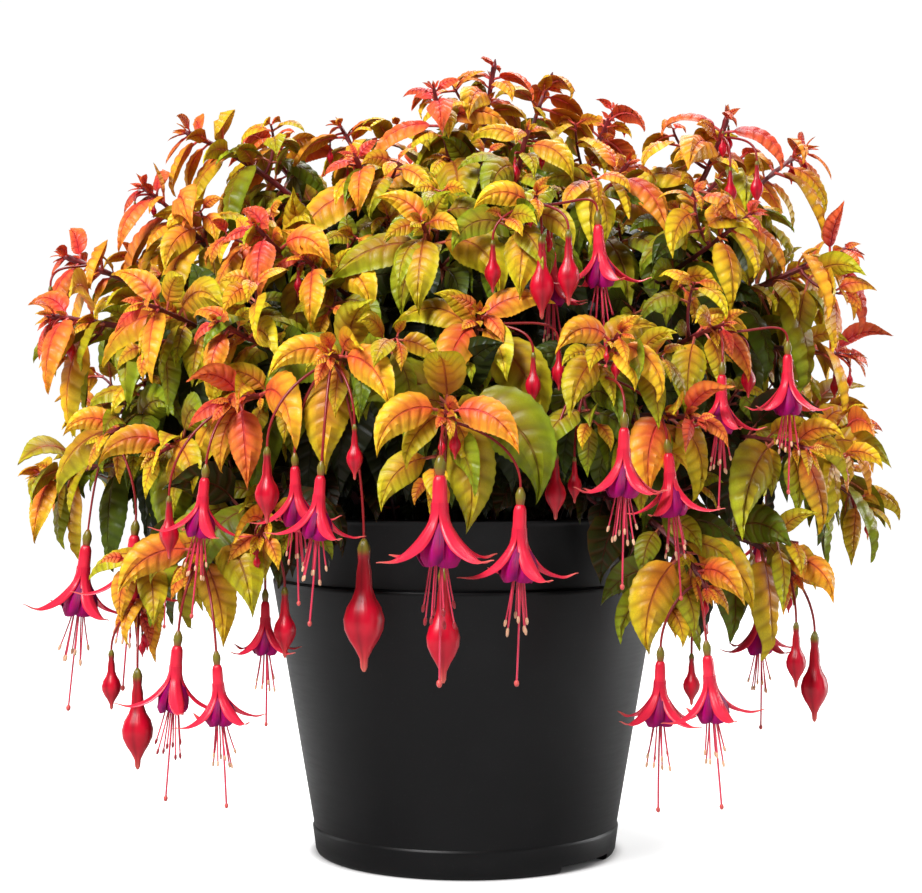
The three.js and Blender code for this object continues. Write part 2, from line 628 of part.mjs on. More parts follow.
// Grows a stem from a ring, or from a closed end, with side growths on its short stretches
function growStem(skin, base, shape, growths) {
  const { stem, radii, stations } = shape;
  let last = base ?? skin.start(skin.ring(stemRing(shape, 0)));
  stations.forEach((at, i) => {
    const next = skin.ring(stemRing(shape, at));
    const here = growths.filter((growth) => Math.abs(growth.at + BUD_HALF - at) < SAME_PLACE);
    if (base && i === 0) skin.join(last, next);
    else skin.wall(last, next, here.map(({ side }) => side));
    here.forEach(({ side, grow }) => grow(budPatch(last, next, side)));
    last = next;
  });
  skin.tip(last, stem.at(stem.length + radii[1] * 2).point);
}

function bareStem(shape) {
  const skin = new Skin();
  growStem(skin, null, shape, []);
  return skin.solid();
}

// How wide a leaf is at a share s of its blade, against its widest
const leafShape = (s) => s ** BROAD_FOOT * (1 - s) ** SLENDER_TIP;
const WIDEST_AT = BROAD_FOOT / (BROAD_FOOT + SLENDER_TIP);
const leafWidth = (s) => leafShape(s) / leafShape(WIDEST_AT);

// Where a leaf roots and how it arches: its first direction, the way it falls, its roll and its bend
function leafPose(stem, shoot, pair, side, chance, [turn, moreBend, scale]) {
  const { point, tangent, across, above } = stem.at(stem.length - PAIR_BACK[pair]);
  const angle = (shoot.spin + (pair + 2 * side) * 90 + turn + chance.angle * LEAF_JITTER) * DEGREE;
  const out = across.clone().multiplyScalar(Math.cos(angle)).addScaledVector(above, Math.sin(angle));
  const slant = PAIR_ANGLE[pair] * DEGREE;
  const start = tangent.clone().multiplyScalar(Math.cos(slant)).addScaledVector(out, Math.sin(slant));
  const fall = DOWN.clone().addScaledVector(start, -DOWN.dot(start));
  const level = fall.length();
  fall.normalize();
  const outward = new THREE.Vector3(point.x, point.y, 0).normalize();
  const face = tangent.clone().multiplyScalar(FACE.along)
    .addScaledVector(UP, FACE.up)
    .addScaledVector(outward, FACE.out);
  const beside = fall.clone().cross(start);
  const roll = Math.atan2(face.dot(beside), -face.dot(fall)) + chance.roll * ROLL_JITTER;
  const rise = Math.max(0, start.z);
  const size = scale * (1 + (UPRIGHT_SIZE - 1) * rise);
  const length = shoot.leaf * PAIR_SIZE[pair] * (1 + chance.size * SIZE_JITTER) * size;
  const share = level + UPRIGHT_BEND * rise;
  const bend = Math.max(LEAST_BEND, (PAIR_BEND[pair] + moreBend + chance.bend * BEND_JITTER) * share);
  return { point, start, fall, roll, length, bend, width: length * PAIR_WIDTH[pair] };
}

// The centre of a ring at a share s of the blade, with the directions across it and out of its upper face
function leafFrame({ point, start, fall, roll, length, bend }, s) {
  const stalk = length * LEAF_STALK;
  const arc = (length - stalk) / bend;
  const turn = bend * s;
  const centre = point.clone()
    .addScaledVector(start, stalk + arc * Math.sin(turn))
    .addScaledVector(fall, arc * (1 - Math.cos(turn)));
  const along = start.clone().multiplyScalar(Math.cos(turn)).addScaledVector(fall, Math.sin(turn));
  const top = start.clone().multiplyScalar(Math.sin(turn)).addScaledVector(fall, -Math.cos(turn));
  const beside = along.clone().cross(top);
  const face = top.multiplyScalar(Math.cos(roll)).addScaledVector(beside, Math.sin(roll));
  return { centre, face, across: face.clone().cross(along) };
}

// A ring of three corners: the two margins, and the midrib above them
function keel({ centre, face, across }, half, margin) {
  const lower = centre.clone().addScaledVector(face, -LEAF_RIDGE - half * LEAF_FOLD - margin);
  return [
    lower.clone().addScaledVector(across, -half - margin),
    lower.addScaledVector(across, half + margin),
    centre.clone().addScaledVector(face, LEAF_RIDGE + margin),
  ];
}

function leafRings(pose, outline, margin = 0) {
  const widest = pose.width / 2;
  return outline.map(([s, swell]) => keel(leafFrame(pose, s), widest * leafWidth(s) * swell, margin));
}

const leafTip = (pose, margin = 0) => leafFrame(pose, 1 + margin / pose.length).centre;

function growLeaf(skin, patch, { pose, outline }, margin = 0) {
  const rings = leafRings(pose, outline, margin).map((points) => skin.ring(points));
  skin.join(patch, rings[0]);
  rings.slice(1).forEach((ring, i) => skin.wall(rings[i], ring));
  skin.tip(rings.at(-1), leafTip(pose, margin));
}

// A leaf as a solid of its own with a margin all round, from the patch that it grows on or from further out
function leafSolid(leaf, shape, margin, begin = 0) {
  const at = shape.stem.length - PAIR_BACK[leaf.pair];
  const [lower, upper] = [at - BUD_HALF, at + BUD_HALF].map((end) => stemRing(shape, end));
  const patch = budPatch(lower, upper, sideOf(leaf));
  const centre = middle(patch);
  const moved = patch.map((corner) => corner.clone()
    .addScaledVector(corner.clone().sub(centre), margin)
    .addScaledVector(leaf.pose.start, begin));
  const skin = new Skin();
  growLeaf(skin, skin.start(skin.ring(moved)), leaf, margin);
  return skin.solid();
}

// Which side of its stem a leaf grows from
const sideOf = ({ pair, side }) => (pair + 2 * side + SECTION_SIDES - 1) % SECTION_SIDES;

function outlineOf(pose, pair) {
  if (pair === 0) return YOUNG_OUTLINE;
  return pair > 1 && pose.point.y < WAVED_WITHIN ? WAVED_OUTLINE : PLAIN_OUTLINE;
}

// The pairs that a stem bears, the oldest first; a side shoot's youngest are too small to show here
function pairsOn(stem, { pairs, from }) {
  const youngest = from === undefined ? 0 : 1;
  return PAIR_BACK.map((_, pair) => pair)
    .filter((pair) => pair >= youngest && pair < pairs && PAIR_BACK[pair] < stem.length * ROOM_ON_STEM)
    .reverse();
}

// Opposite pairs of leaves down a shoot, the oldest first; a leaf that finds no clear place is left out
function leavesOf(node, shape, shoot, seed) {
  const { stem } = shape;
  const draw = draws(seed);
  const leaves = [];
  for (const pair of pairsOn(stem, shoot)) {
    for (const side of [0, 1]) {
      const chance = { angle: draw(), roll: draw(), size: draw(), bend: draw() };
      const tries = LEAF_TRIES.map((attempt) => {
        const pose = leafPose(stem, shoot, pair, side, chance, attempt);
        return { pose, outline: outlineOf(pose, pair), pair, side };
      });
      const leaf = tries.find((tried) => (
        isClear(leafSolid(tried, shape, GUARD), (item) => item.node !== node)
          && isClear(leafSolid(tried, shape, GUARD, OWN_GUARD_START), (item) => item.node === node)
      ));
      if (!leaf) continue;
      obstruct(node, "leaf", leafSolid(leaf, shape, 0));
      leaves.push(leaf);
    }
  }
  return leaves;
}

// One leafy spray: the leader with its leaves, and the side shoots growing from its sides with theirs
function spraySolid({ forks, shapes: [leader, ...sides] }, leaves) {
  const skin = new Skin();
  const leafGrowths = ({ stem }, own) => own.map((leaf) => ({
    at: stem.length - PAIR_BACK[leaf.pair],
    side: sideOf(leaf),
    grow: (patch) => growLeaf(skin, patch, leaf),
  }));
  const sideGrowths = sides.map((shape, i) => {
    const { across, above } = leader.stem.at(forks[i]);
    const { tangent } = shape.stem.at(0);
    const turn = Math.atan2(tangent.dot(above), tangent.dot(across)) / DEGREE - leader.spin;
    const grow = (patch) => growStem(skin, patch, shape, leafGrowths(shape, leaves[i + 1]));
    return { at: forks[i], side: (Math.round(turn / 90) + 2 * SECTION_SIDES - 1) % SECTION_SIDES, grow };
  });
  growStem(skin, null, leader, [...leafGrowths(leader, leaves[0]), ...sideGrowths]);
  return skin.solid();
}

const hangingAxis = (lean) => new THREE.Vector3(lean[0], lean[1], -1).normalize();

// The turn and shift that take a flower from its own axis, down -Z from the origin, to where it hangs
function hangingMatrix(top, lean, spin) {
  const turn = new THREE.Quaternion().setFromUnitVectors(DOWN, hangingAxis(lean));
  turn.multiply(new THREE.Quaternion().setFromAxisAngle(UP, spin * DEGREE));
  return new THREE.Matrix4().compose(vector(top), turn, new THREE.Vector3(1, 1, 1));
}

// The centre line of a stalk from its cluster's knuckle, arching over and down to the top of a flower or bud
function stalkStem(knuckle, top, lean) {
  const span = knuckle.distanceTo(top);
  const side = top.clone().sub(knuckle).setZ(0);
  const leave = knuckle.clone().addScaledVector(side, STALK_REACH).addScaledVector(DOWN, span * STALK_SAG);
  const settle = top.clone().addScaledVector(hangingAxis(lean), -span * STALK_HANG);
  const points = new THREE.CubicBezierCurve3(knuckle, leave, settle, top).getPoints(STALK_CURVE_STEPS);
  return new Stem(points, UP.clone().cross(side.lengthSq() > 1 ? side : NORTH).normalize());
}

function stalkStations({ length }) {
  const steps = Math.max(2, Math.round(length / STALK_STEP));
  return Array.from({ length: steps }, (_, i) => (length * i) / steps);
}

// Grows a stalk, and then rings of [radius, depth] down the flower's own axis
function growHanging(skin, knuckle, top, lean, matrix, profile) {
  const stalk = stalkStem(knuckle, top, lean);
  const rings = stalkStations(stalk).map((at) => skin.ring(stalk.corners(at, STALK_RADIUS, 0)));
  skin.start(rings[0]);
  rings.slice(1).forEach((ring, i) => skin.wall(rings[i], ring));
  const hung = profile.map(([radius, depth]) => skin.ring(flowerRing(radius, depth, matrix)));
  skin.join(rings.at(-1), hung[0]);
  return hung;
}

const flowerRing = (radius, depth, matrix) => Array.from({ length: SECTION_SIDES }, (_, i) => (
  circle(-(i + 0.5) * 90 * DEGREE).multiplyScalar(radius).addScaledVector(DOWN, depth).applyMatrix4(matrix)
));

// One sepal: it leaves the tube slanting down, then its tip lifts
function sepalRings(k, turn, share, margin = 0) {
  const radial = circle(turn);
  const below = SEPAL.below * DEGREE;
  const start = radial.clone().multiplyScalar(Math.cos(below)).addScaledVector(DOWN, Math.sin(below));
  const rise = radial.clone().multiplyScalar(Math.sin(below)).addScaledVector(UP, Math.cos(below));
  const root = radial.clone().multiplyScalar(SEPAL.inset * k).addScaledVector(DOWN, SEPAL.from * k);
  const arc = (SEPAL.length * k * share) / SEPAL.lift;
  const centreAt = (bend) => root.clone()
    .addScaledVector(start, arc * Math.sin(bend))
    .addScaledVector(rise, arc * (1 - Math.cos(bend)));
  const ringAt = (s, width) => {
    const bend = SEPAL.lift * s;
    const face = rise.clone().multiplyScalar(Math.cos(bend)).addScaledVector(start, -Math.sin(bend));
    const along = start.clone().multiplyScalar(Math.cos(bend)).addScaledVector(rise, Math.sin(bend));
    const across = face.clone().cross(along);
    const half = (SEPAL.width * k * width) / 2 + margin;
    const lower = centreAt(bend).addScaledVector(face, -SEPAL.thickness / 2 - margin);
    return [
      lower.clone().addScaledVector(across, -half),
      lower.addScaledVector(across, half),
      centreAt(bend).addScaledVector(face, SEPAL.thickness / 2 + margin),
    ];
  };
  const [rootRing, ...rings] = SEPAL.outline.map(([s, width]) => ringAt(s, width));
  return { rootRing, rings, tip: centreAt(SEPAL.lift) };
}

// The threads below the tube, three stamens and the longer style, each from its quarter of the tube's end
function threadRings(k, quarter) {
  const isStyle = quarter === 0;
  const radial = circle(-(quarter + 1) * 90 * DEGREE);
  const { end, spread, radius, head, headLength } = isStyle ? STYLE : STAMEN;
  const reach = end - (isStyle ? 0 : STAMEN.stagger * quarter);
  const root = TUBE.end * k + THREAD_STEP;
  const from = radial.clone().multiplyScalar(THREAD_ROOT * k).addScaledVector(DOWN, root);
  const tip = radial.clone().multiplyScalar(spread * k).addScaledVector(DOWN, reach * k);
  const swelling = tip.clone().addScaledVector(tip.clone().sub(from).normalize(), -headLength * k);
  const ring = (centre, r) => [0, 1, 2].map((i) => (
    centre.clone().addScaledVector(circle(-(quarter + 1 + (i * 4) / 3) * 90 * DEGREE), r)
  ));
  return { rings: [ring(from, radius), ring(swelling, head * k)], tip };
}

function flowerSolid(knuckle, { top, lean, scale: k }, matrix, share) {
  const skin = new Skin();
  const grow = (base, rings, tip) => {
    const grown = rings.map((points) => skin.ring(points.map((point) => point.applyMatrix4(matrix))));
    skin.join(base, grown[0]);
    grown.slice(1).forEach((ring, i) => skin.wall(grown[i], ring));
    skin.tip(grown.at(-1), tip.applyMatrix4(matrix));
  };
  const hung = growHanging(skin, knuckle, vector(top), lean, matrix, [
    [STALK_RADIUS, 0],
    [OVARY.radius * k, (OVARY.length * k) / 2],
    [OVARY.neck * k, OVARY.length * k],
    [TUBE.radius * k, TUBE.swell * k],
    [TUBE.mouth * k, TUBE.end * k],
  ]);
  hung.slice(1).forEach((ring, i) => {
    const isMouth = i === hung.length - 2;
    skin.wall(hung[i], ring, isMouth ? [0, 1, 2, 3] : []);
  });
  const [swell, mouth] = hung.slice(-2);
  const [centre] = skin.ring([new THREE.Vector3(0, 0, -TUBE.end * k).applyMatrix4(matrix)]);
  mouth.forEach((corner, i) => {
    const next = (i + 1) % mouth.length;
    const { rings, tip } = sepalRings(k, -(i + 1) * 90 * DEGREE, share);
    grow([swell[i], swell[next], mouth[next], corner], rings, tip);
    const thread = threadRings(k, i);
    grow([corner, mouth[next], centre], thread.rings, thread.tip);
  });
  return skin.solid();
}

// The space that a flower takes: its body and threads turned about its axis, and its sepals
function flowerGuards({ scale: k }, matrix, share, margin) {
  const core = turned([
    [0, -STYLE.end * k],
    [STYLE.spread * k + STYLE.head + margin, -STYLE.end * k],
    [STYLE.spread * k + STYLE.head + margin, -STAMEN.end * k],
    [STAMEN.spread * k + STAMEN.head + margin, -STAMEN.end * k],
    [COROLLA.mouth * k + margin, -COROLLA.hem * k],
    [COROLLA.belly[0] * k + margin, -COROLLA.belly[1] * k],
    [TUBE.mouth * k + margin, -TUBE.end * k],
    [TUBE.radius * k + margin, -TUBE.swell * k],
    [OVARY.neck * k + margin, -OVARY.length * k],
    [OVARY.radius * k + margin, (-OVARY.length * k) / 2],
    [STALK_RADIUS + margin, 0],
    [0, 0],
  ], GUARD_SIDES);
  const sepals = Array.from({ length: SECTION_SIDES }, (_, i) => {
    const { rootRing, rings, tip } = sepalRings(k, -(i + 1) * 90 * DEGREE, share, margin);
    const moved = [rootRing, ...rings].map((ring) => ring.map((point) => point.applyMatrix4(matrix)));
    return loft(moved, tip.applyMatrix4(matrix));
  });
  return [solidOf(core, matrix), ...sepals];
}

// The corolla: a skirt of rolled petals, open at both ends, with a scalloped hem
function corollaSolid(k, top, matrix) {
  const { sides, throat: [inner, outer], belly, mouth, wall, hem, scallop } = COROLLA;
  const skin = new Skin();
  const ring = (radius, depth, drop = 0) => skin.ring(Array.from({ length: sides }, (_, i) => (
    circle((-i / sides) * 360 * DEGREE).multiplyScalar(radius * k)
      .addScaledVector(DOWN, (depth + (i % 2) * drop) * k)
      .applyMatrix4(matrix)
  )));
  const rings = [
    ring(outer, top),
    ring(...belly),
    ring(mouth, hem - scallop, scallop),
    ring(mouth - wall, hem - scallop, scallop),
    ring(inner, top),
  ];
  rings.forEach((from, i) => skin.wall(from, rings[(i + 1) % rings.length]));
  return skin.solid();
}

function budSolid(knuckle, { top, length }) {
  const skin = new Skin();
  const matrix = hangingMatrix(top, LEVEL, 0);
  const profile = BUD_PROFILE.map(([depth, radius]) => [radius * length, depth * length]);
  const hung = growHanging(skin, knuckle, vector(top), LEVEL, matrix, [[STALK_RADIUS, 0], ...profile]);
  hung.slice(1).forEach((ring, i) => skin.wall(hung[i], ring));
  skin.tip(hung.at(-1), new THREE.Vector3(0, 0, -length).applyMatrix4(matrix));
  return skin.solid();
}

const stalkGuards = (cluster, knuckle, radius) => [...cluster.flowers, ...cluster.buds]
  .map(({ top, lean = LEVEL }) => {
    const stem = stalkStem(knuckle, vector(top), lean);
    return bareStem({ stem, radii: [radius, radius], spin: 0, stations: stalkStations(stem).slice(1) });
  });

function knuckleSolid(place, radius) {
  return solidOf(new THREE.OctahedronGeometry(radius), new THREE.Matrix4().setPosition(place));
}

// Where a cluster's stalks meet: just off the stem where its flowers hang, or turned clear of other pieces
function knuckleOf(cluster, node, stem) {
  const { point, tangent } = stem.at(stem.length - cluster.back);
  if (!cluster.name) return point;
  const toward = middle([...cluster.flowers, ...cluster.buds].map(({ top }) => vector(top))).sub(point);
  toward.addScaledVector(tangent, -toward.dot(tangent));
  const places = KNUCKLE_TURNS.flatMap((turn) => KNUCKLE_REACHES.map((reach) => (
    toward.clone().setLength(reach).applyAxisAngle(tangent, turn * DEGREE).add(point)
  )));
  return places.find((place) => (
    [knuckleSolid(place, KNUCKLE + GAP), ...stalkGuards(cluster, place, STALK_RADIUS + GAP)]
      .every((solid) => isClear(solid, (item) => item.node !== node))
  )) ?? places[KNUCKLE_REACHES.length - 1];
}

const corollaName = (cluster, i) => `${cluster.name.replace("bloom", "corolla")}_${i + 1}`;
const pieces = new Map();
const addPiece = (node, solid) => pieces.set(node, [...(pieces.get(node) ?? []), solid]);

function addFlower(cluster, node, knuckle, flower, i) {
  const counts = (item) => item.node !== node || item.kind === "flower";
  const placeOf = ([spin]) => hangingMatrix(flower.top, flower.lean, flower.spin + spin);
  const clear = (attempt) => flowerGuards(flower, placeOf(attempt), attempt[1], GAP)
    .every((solid) => isClear(solid, counts));
  const attempt = FLOWER_TRIES.find(clear) ?? FLOWER_TRIES[0];
  const matrix = placeOf(attempt);
  const solid = flowerSolid(knuckle, flower, matrix, attempt[1]);
  addPiece(node, solid);
  [solid, ...flowerGuards(flower, matrix, attempt[1], 0)].forEach((guard) => obstruct(node, "flower", guard));
  const top = flower.fused ? TUBE.end - FUSED_OVERLAP : COROLLA.top;
  addPiece(flower.fused ? node : corollaName(cluster, i), corollaSolid(flower.scale, top, matrix));
}

function addCluster(cluster, stem) {
  const node = cluster.name ?? cluster.on[0];
  const knuckle = knuckleOf(cluster, node, stem);
  const joint = knuckleSolid(knuckle, KNUCKLE);
  addPiece(node, joint);
  obstruct(node, "stalk", joint);
  stalkGuards(cluster, knuckle, STALK_RADIUS).forEach((stalk) => obstruct(node, "stalk", stalk));
  cluster.flowers.forEach((flower, i) => addFlower(cluster, node, knuckle, flower, i));
  cluster.buds.forEach((bud) => {
    const solid = budSolid(knuckle, bud);
    addPiece(node, solid);
    obstruct(node, "flower", solid);
  });
}

function potSolid() {
  const shell = solidOf(turned([
    [0, 0],
    [FOOT_RADIUS - FOOT_BEVEL, 0],
    [FOOT_RADIUS, FOOT_BEVEL],
    [BAND_RADIUS, FOOT_BAND_HEIGHT],
    [BAND_RADIUS - BAND_STEP, FOOT_BAND_HEIGHT + BAND_STEP],
    [LEDGE_RADIUS, LEDGE_HEIGHT - LEDGE_ROUND],
    [LEDGE_RADIUS - LEDGE_ROUND, LEDGE_HEIGHT],
    [COLLAR_RADIUS, LEDGE_HEIGHT],
    [COLLAR_RADIUS, RIM_HEIGHT - 2 * RIM_BEAD],
    [COLLAR_RADIUS + RIM_BEAD, RIM_HEIGHT - RIM_BEAD],
    [COLLAR_RADIUS + RIM_BEAD, RIM_HEIGHT],
    [COLLAR_RADIUS - WALL, RIM_HEIGHT],
    [COLLAR_RADIUS - WALL, LEDGE_HEIGHT - WALL],
    [FOOT_RADIUS - WALL, FLOOR],
    [0, FLOOR],
  ], POT_SIDES));
  const length = FOOT_RADIUS + NOTCH_HEIGHT - NOTCH_START;
  return NOTCH_ANGLES.reduce((pot, angle) => {
    const turn = new THREE.Matrix4().makeRotationZ(angle * DEGREE);
    const channel = new THREE.BoxGeometry(length, NOTCH_WIDTH, 2 * NOTCH_HEIGHT);
    channel.translate(NOTCH_START + length / 2, 0, 0);
    const drain = new THREE.CylinderGeometry(DRAIN_RADIUS, DRAIN_RADIUS, 4 * FLOOR, DRAIN_SIDES);
    drain.rotateX(Math.PI / 2).translate(DRAIN_AT, 0, 0);
    return pot.subtract(solidOf(channel, turn)).subtract(solidOf(drain, turn));
  }, shell);
}

function soilSolid(leaders) {
  const edge = COLLAR_RADIUS - WALL - GAP;
  const mound = solidOf(turned([
    [0, FLOOR + GAP],
    [FOOT_RADIUS - WALL - 2 * GAP, FLOOR + GAP],
    [edge - GAP, LEDGE_HEIGHT - WALL],
    [edge, SOIL_EDGE],
    [0, SOIL_CROWN],
  ], POT_SIDES));
  const radius = LEADER_RADIUS[0] + HOLE_MARGIN;
  return leaders.reduce((soil, { stem, spin }) => {
    const corners = stem.corners(0, radius, spin).map((corner) => corner.addScaledVector(DOWN, GAP));
    const raised = corners.map((corner) => corner.clone().addScaledVector(UP, 2 * ROOT_DEPTH));
    return soil.subtract(loft([corners, raised], middle(raised).addScaledVector(UP, 1)));
  }, mound);
}

function meshOf(name, solid, finish) {
  const { vertProperties, triVerts } = solid.getMesh();
  const geometry = new THREE.BufferGeometry();
  geometry.setAttribute("position", new THREE.BufferAttribute(new Float32Array(vertProperties), 3));
  geometry.setIndex(new THREE.BufferAttribute(new Uint32Array(triVerts), 1));
  geometry.computeVertexNormals();
  const material = new THREE.MeshStandardMaterial({ ...FINISHES[finish], flatShading: true });
  const mesh = new THREE.Mesh(geometry, material);
  mesh.name = name;
  return mesh;
}

// Pot and soil come first, then every stem, the flowers, and the leaves last, round what is there already
const sprays = SPRAYS.map((spray) => {
  const leader = leaderStem(spray);
  const forks = spray.shoots.slice(1).map(({ from }) => forkOf(leader, spray.shoots, from));
  const sides = spray.shoots.slice(1).map((shoot, i) => sideStem(leader, forks[i], shoot));
  const shapes = [leader, ...sides].map((stem, i) => {
    const { spin } = spray.shoots[i];
    const nodes = pairsOn(stem, spray.shoots[i]).map((pair) => stem.length - PAIR_BACK[pair]);
    const stations = i === 0
      ? stationsOf(stem, STANDS_STRAIGHT, [...nodes, ...forks])
      : stationsOf(stem, SHOOT_START, nodes);
    return { stem, spin, stations, radii: i === 0 ? LEADER_RADIUS : SHOOT_RADIUS };
  });
  return { ...spray, forks, shapes };
});

const pot = potSolid();
const soil = soilSolid(sprays.map(({ shapes: [leader] }) => leader));
obstruct("pot", "pot", pot);
obstruct("soil", "soil", soil);

sprays.forEach(({ name, shapes }) => shapes.forEach((shape) => obstruct(name, "stem", bareStem(shape))));

CLUSTERS.forEach((cluster) => {
  const [name, shoot] = cluster.on;
  addCluster(cluster, sprays.find((spray) => spray.name === name).shapes[shoot].stem);
});

sprays.forEach((spray, i) => {
  const leaves = spray.shapes.map((shape, j) => (
    leavesOf(spray.name, shape, spray.shoots[j], SPRAY_SEED * (i + 1) + SHOOT_SEED * j)
  ));
  addPiece(spray.name, spraySolid(spray, leaves));
});

const holder = new THREE.Group();
holder.add(meshOf("pot", pot, "pot"), meshOf("soil", soil, "soil"));

const foliage = new THREE.Group();
SPRAYS.forEach(({ name, colour }) => foliage.add(meshOf(name, union(pieces.get(name)), colour)));

const flowers = new THREE.Group();
CLUSTERS.filter((cluster) => cluster.name).forEach((cluster) => {
  flowers.add(meshOf(cluster.name, union(pieces.get(cluster.name)), "bloom"));
  cluster.flowers.map((_, i) => corollaName(cluster, i)).filter((name) => pieces.has(name))
    .forEach((name) => flowers.add(meshOf(name, union(pieces.get(name)), "corolla")));
});

const plant = new THREE.Group();
plant.add(holder, foliage, flowers);

export default plant;
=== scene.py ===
"""A trailing fuchsia in a black plastic pot, dressed over the solids of the frame.

Lengths in the tables and in the making of shapes are millimetres. Shapes become metres when their mesh
is made, and places in materials, lights and the camera are metres.
"""

import math

import bpy
import numpy as np
from mathutils import Matrix, Quaternion, Vector, noise
from mathutils.kdtree import KDTree


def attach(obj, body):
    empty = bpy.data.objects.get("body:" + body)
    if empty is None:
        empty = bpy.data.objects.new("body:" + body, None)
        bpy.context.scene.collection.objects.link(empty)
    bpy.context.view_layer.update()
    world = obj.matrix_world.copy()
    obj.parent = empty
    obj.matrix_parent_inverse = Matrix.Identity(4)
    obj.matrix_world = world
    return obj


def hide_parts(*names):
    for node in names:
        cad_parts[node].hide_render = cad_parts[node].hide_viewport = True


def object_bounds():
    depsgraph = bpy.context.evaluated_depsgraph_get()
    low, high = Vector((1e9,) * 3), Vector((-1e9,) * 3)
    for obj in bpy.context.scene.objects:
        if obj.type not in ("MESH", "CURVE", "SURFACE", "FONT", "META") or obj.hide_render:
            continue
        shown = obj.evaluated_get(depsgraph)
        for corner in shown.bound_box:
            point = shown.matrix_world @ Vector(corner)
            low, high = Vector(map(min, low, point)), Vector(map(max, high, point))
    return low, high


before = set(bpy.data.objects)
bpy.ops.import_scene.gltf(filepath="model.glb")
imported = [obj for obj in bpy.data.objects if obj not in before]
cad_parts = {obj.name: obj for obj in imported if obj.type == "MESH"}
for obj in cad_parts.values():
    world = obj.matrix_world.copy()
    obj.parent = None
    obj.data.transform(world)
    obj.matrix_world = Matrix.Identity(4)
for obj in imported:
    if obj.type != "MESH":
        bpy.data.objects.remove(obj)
cad_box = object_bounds()

MM = 0.001
UP = np.array([0.0, 0.0, 1.0])
DOWN = -UP
NORTH = np.array([0.0, 1.0, 0.0])
SAME_POINT = 0.03  # how near a solid's own corner lies to the point that placed it

# Pot and soil
LEDGE_RADIUS = 100
LEDGE_HEIGHT = 142
LEDGE_ROUND = 1.2
FOOT_RADIUS = 78
FOOT_BEVEL = 2.2
FOOT_BAND_HEIGHT = 14
BAND_RADIUS = 79.6
BAND_STEP = 0.8
COLLAR_RADIUS = 96.5
RIM_HEIGHT = 176
RIM_BEAD = 1.6
WALL = 2.2
FLOOR = 6
NOTCH_HEIGHT = 3.6
NOTCH_WIDTH = 40
NOTCH_START = 34
NOTCH_ANGLES = (-38, 66, 170)
DRAIN_RADIUS = 5
DRAIN_AT = 56
SOIL_EDGE = 160
SOIL_CROWN = 165
ROOT_DEPTH = 12
STANDS_STRAIGHT = 15

# Stems, as the solids have them, radii from foot to tip
CURVE_STEPS = 24
LEADER_RADIUS = (3.0, 1.5)
SHOOT_RADIUS = (2.0, 1.3)
FORK_ROOM = 5
FORK_ANGLE = 50
LEADER_RISE = 0.42
TIP_REACH = 0.36
FORK_REACH = 0.3

# Leaf pairs, from the youngest at the stem's tip backwards
PAIR_BACK = (2, 8, 20, 39, 64)
PAIR_SIZE = (0.42, 0.8, 1.05, 1.12, 1.05)
PAIR_WIDTH = (0.4, 0.41, 0.44, 0.48, 0.5)
PAIR_ANGLE = (56, 64, 70, 76, 77)
PAIR_BEND = (1.1, 1.4, 1.6, 1.7, 1.65)
UPRIGHT_BEND = 0.65
UPRIGHT_SIZE = 0.72
FACE = (0.5, 0.9, 0.5)  # how much a leaf faces along its stem, up and outwards
FACE_ASIDE = 1.0  # how much it also faces the plant's front or back, whichever it is on
ASIDE_FROM = 60
LEAF_JITTER = 16
ROLL_JITTER = 0.3
BEND_JITTER = 0.25
SIZE_JITTER = 0.1
LEAST_BEND = 0.05
ROOM_ON_STEM = 0.9
BROAD_FOOT = 0.6
SLENDER_TIP = 1.25
LEAF_STALK = 0.13
LEAF_TRIES = (  # more turn in degrees, more bend and a smaller size, tried in this order
    (0, 0, 1), (18, 0, 1), (-18, 0, 1), (0, 0.4, 1), (0, -0.4, 0.95), (32, 0.1, 0.9),
    (-32, 0.1, 0.9), (18, -0.5, 0.8), (-18, -0.5, 0.8), (36, 0, 0.75), (-36, 0, 0.75), (0, 0.2, 0.6),
)

# Flowers, down their own axis from the top of the ovary
SEPAL_LENGTH = 33
SEPAL_WIDTH = 8.6
SEPAL_FROM = 19.5
SEPAL_INSET = 1.3
SEPAL_BELOW = math.radians(60)
SEPAL_LIFT = 0.9
SEPAL_TURNS = [-(i + 1) * math.pi / 2 for i in range(4)]
STAMEN_END = 58
STAMEN_SPREAD = 5.2
STYLE_END = 78
STYLE_SPREAD = 0.8
FLOWER_TRIES = (  # more spin in degrees and shorter sepals, tried in this order
    (0, 1), (22, 1), (45, 1), (67, 1), (11, 0.9), (34, 0.9), (56, 0.9), (79, 0.9),
    (0, 0.75), (22, 0.75), (45, 0.75), (67, 0.75),
)
STALK_RADIUS = 0.75
STALK_REACH = 0.45
STALK_SAG = 0.08
STALK_HANG = 0.4
KNUCKLE = 1.35
KNUCKLE_TURNS = (0, 30, -30, 60, -60, 90, -90, 120, -120, 150, -150, 180)
KNUCKLE_REACHES = (1.9, 2.1, 2.3, 2.5, 2.7, 2.9, 3.1)
SPRAY_SEED = 1000
SHOOT_SEED = 100


def shoot_of(x, y, z, lift, pairs, leaf, spin, fork=None):
    """One shoot: its tip, how steeply it rises there in degrees, its pairs of leaves, their length in
    millimetres and their turn in degrees, and how far along the leader it forks off, as a share.
    """
    shoot = {"tip": [x, y, z], "lift": lift, "pairs": pairs, "leaf": leaf, "spin": spin}
    return shoot if fork is None else {**shoot, "from": fork}


def spray_of(name, group, root, *shoots):
    """A leafy spray: its colour group, where it leaves the soil, its leader and then its side shoots."""
    return {"name": "spray_" + name, "colour": group, "root": root, "shoots": shoots}


def flower_of(x, y, z, scale, spin, lean_x, lean_y=0, fused=False):
    """A flower: the top of its ovary, its scale, its spin in degrees and the slope of its axis."""
    return {"top": [x, y, z], "scale": scale, "spin": spin, "lean": [lean_x, lean_y], "fused": fused}


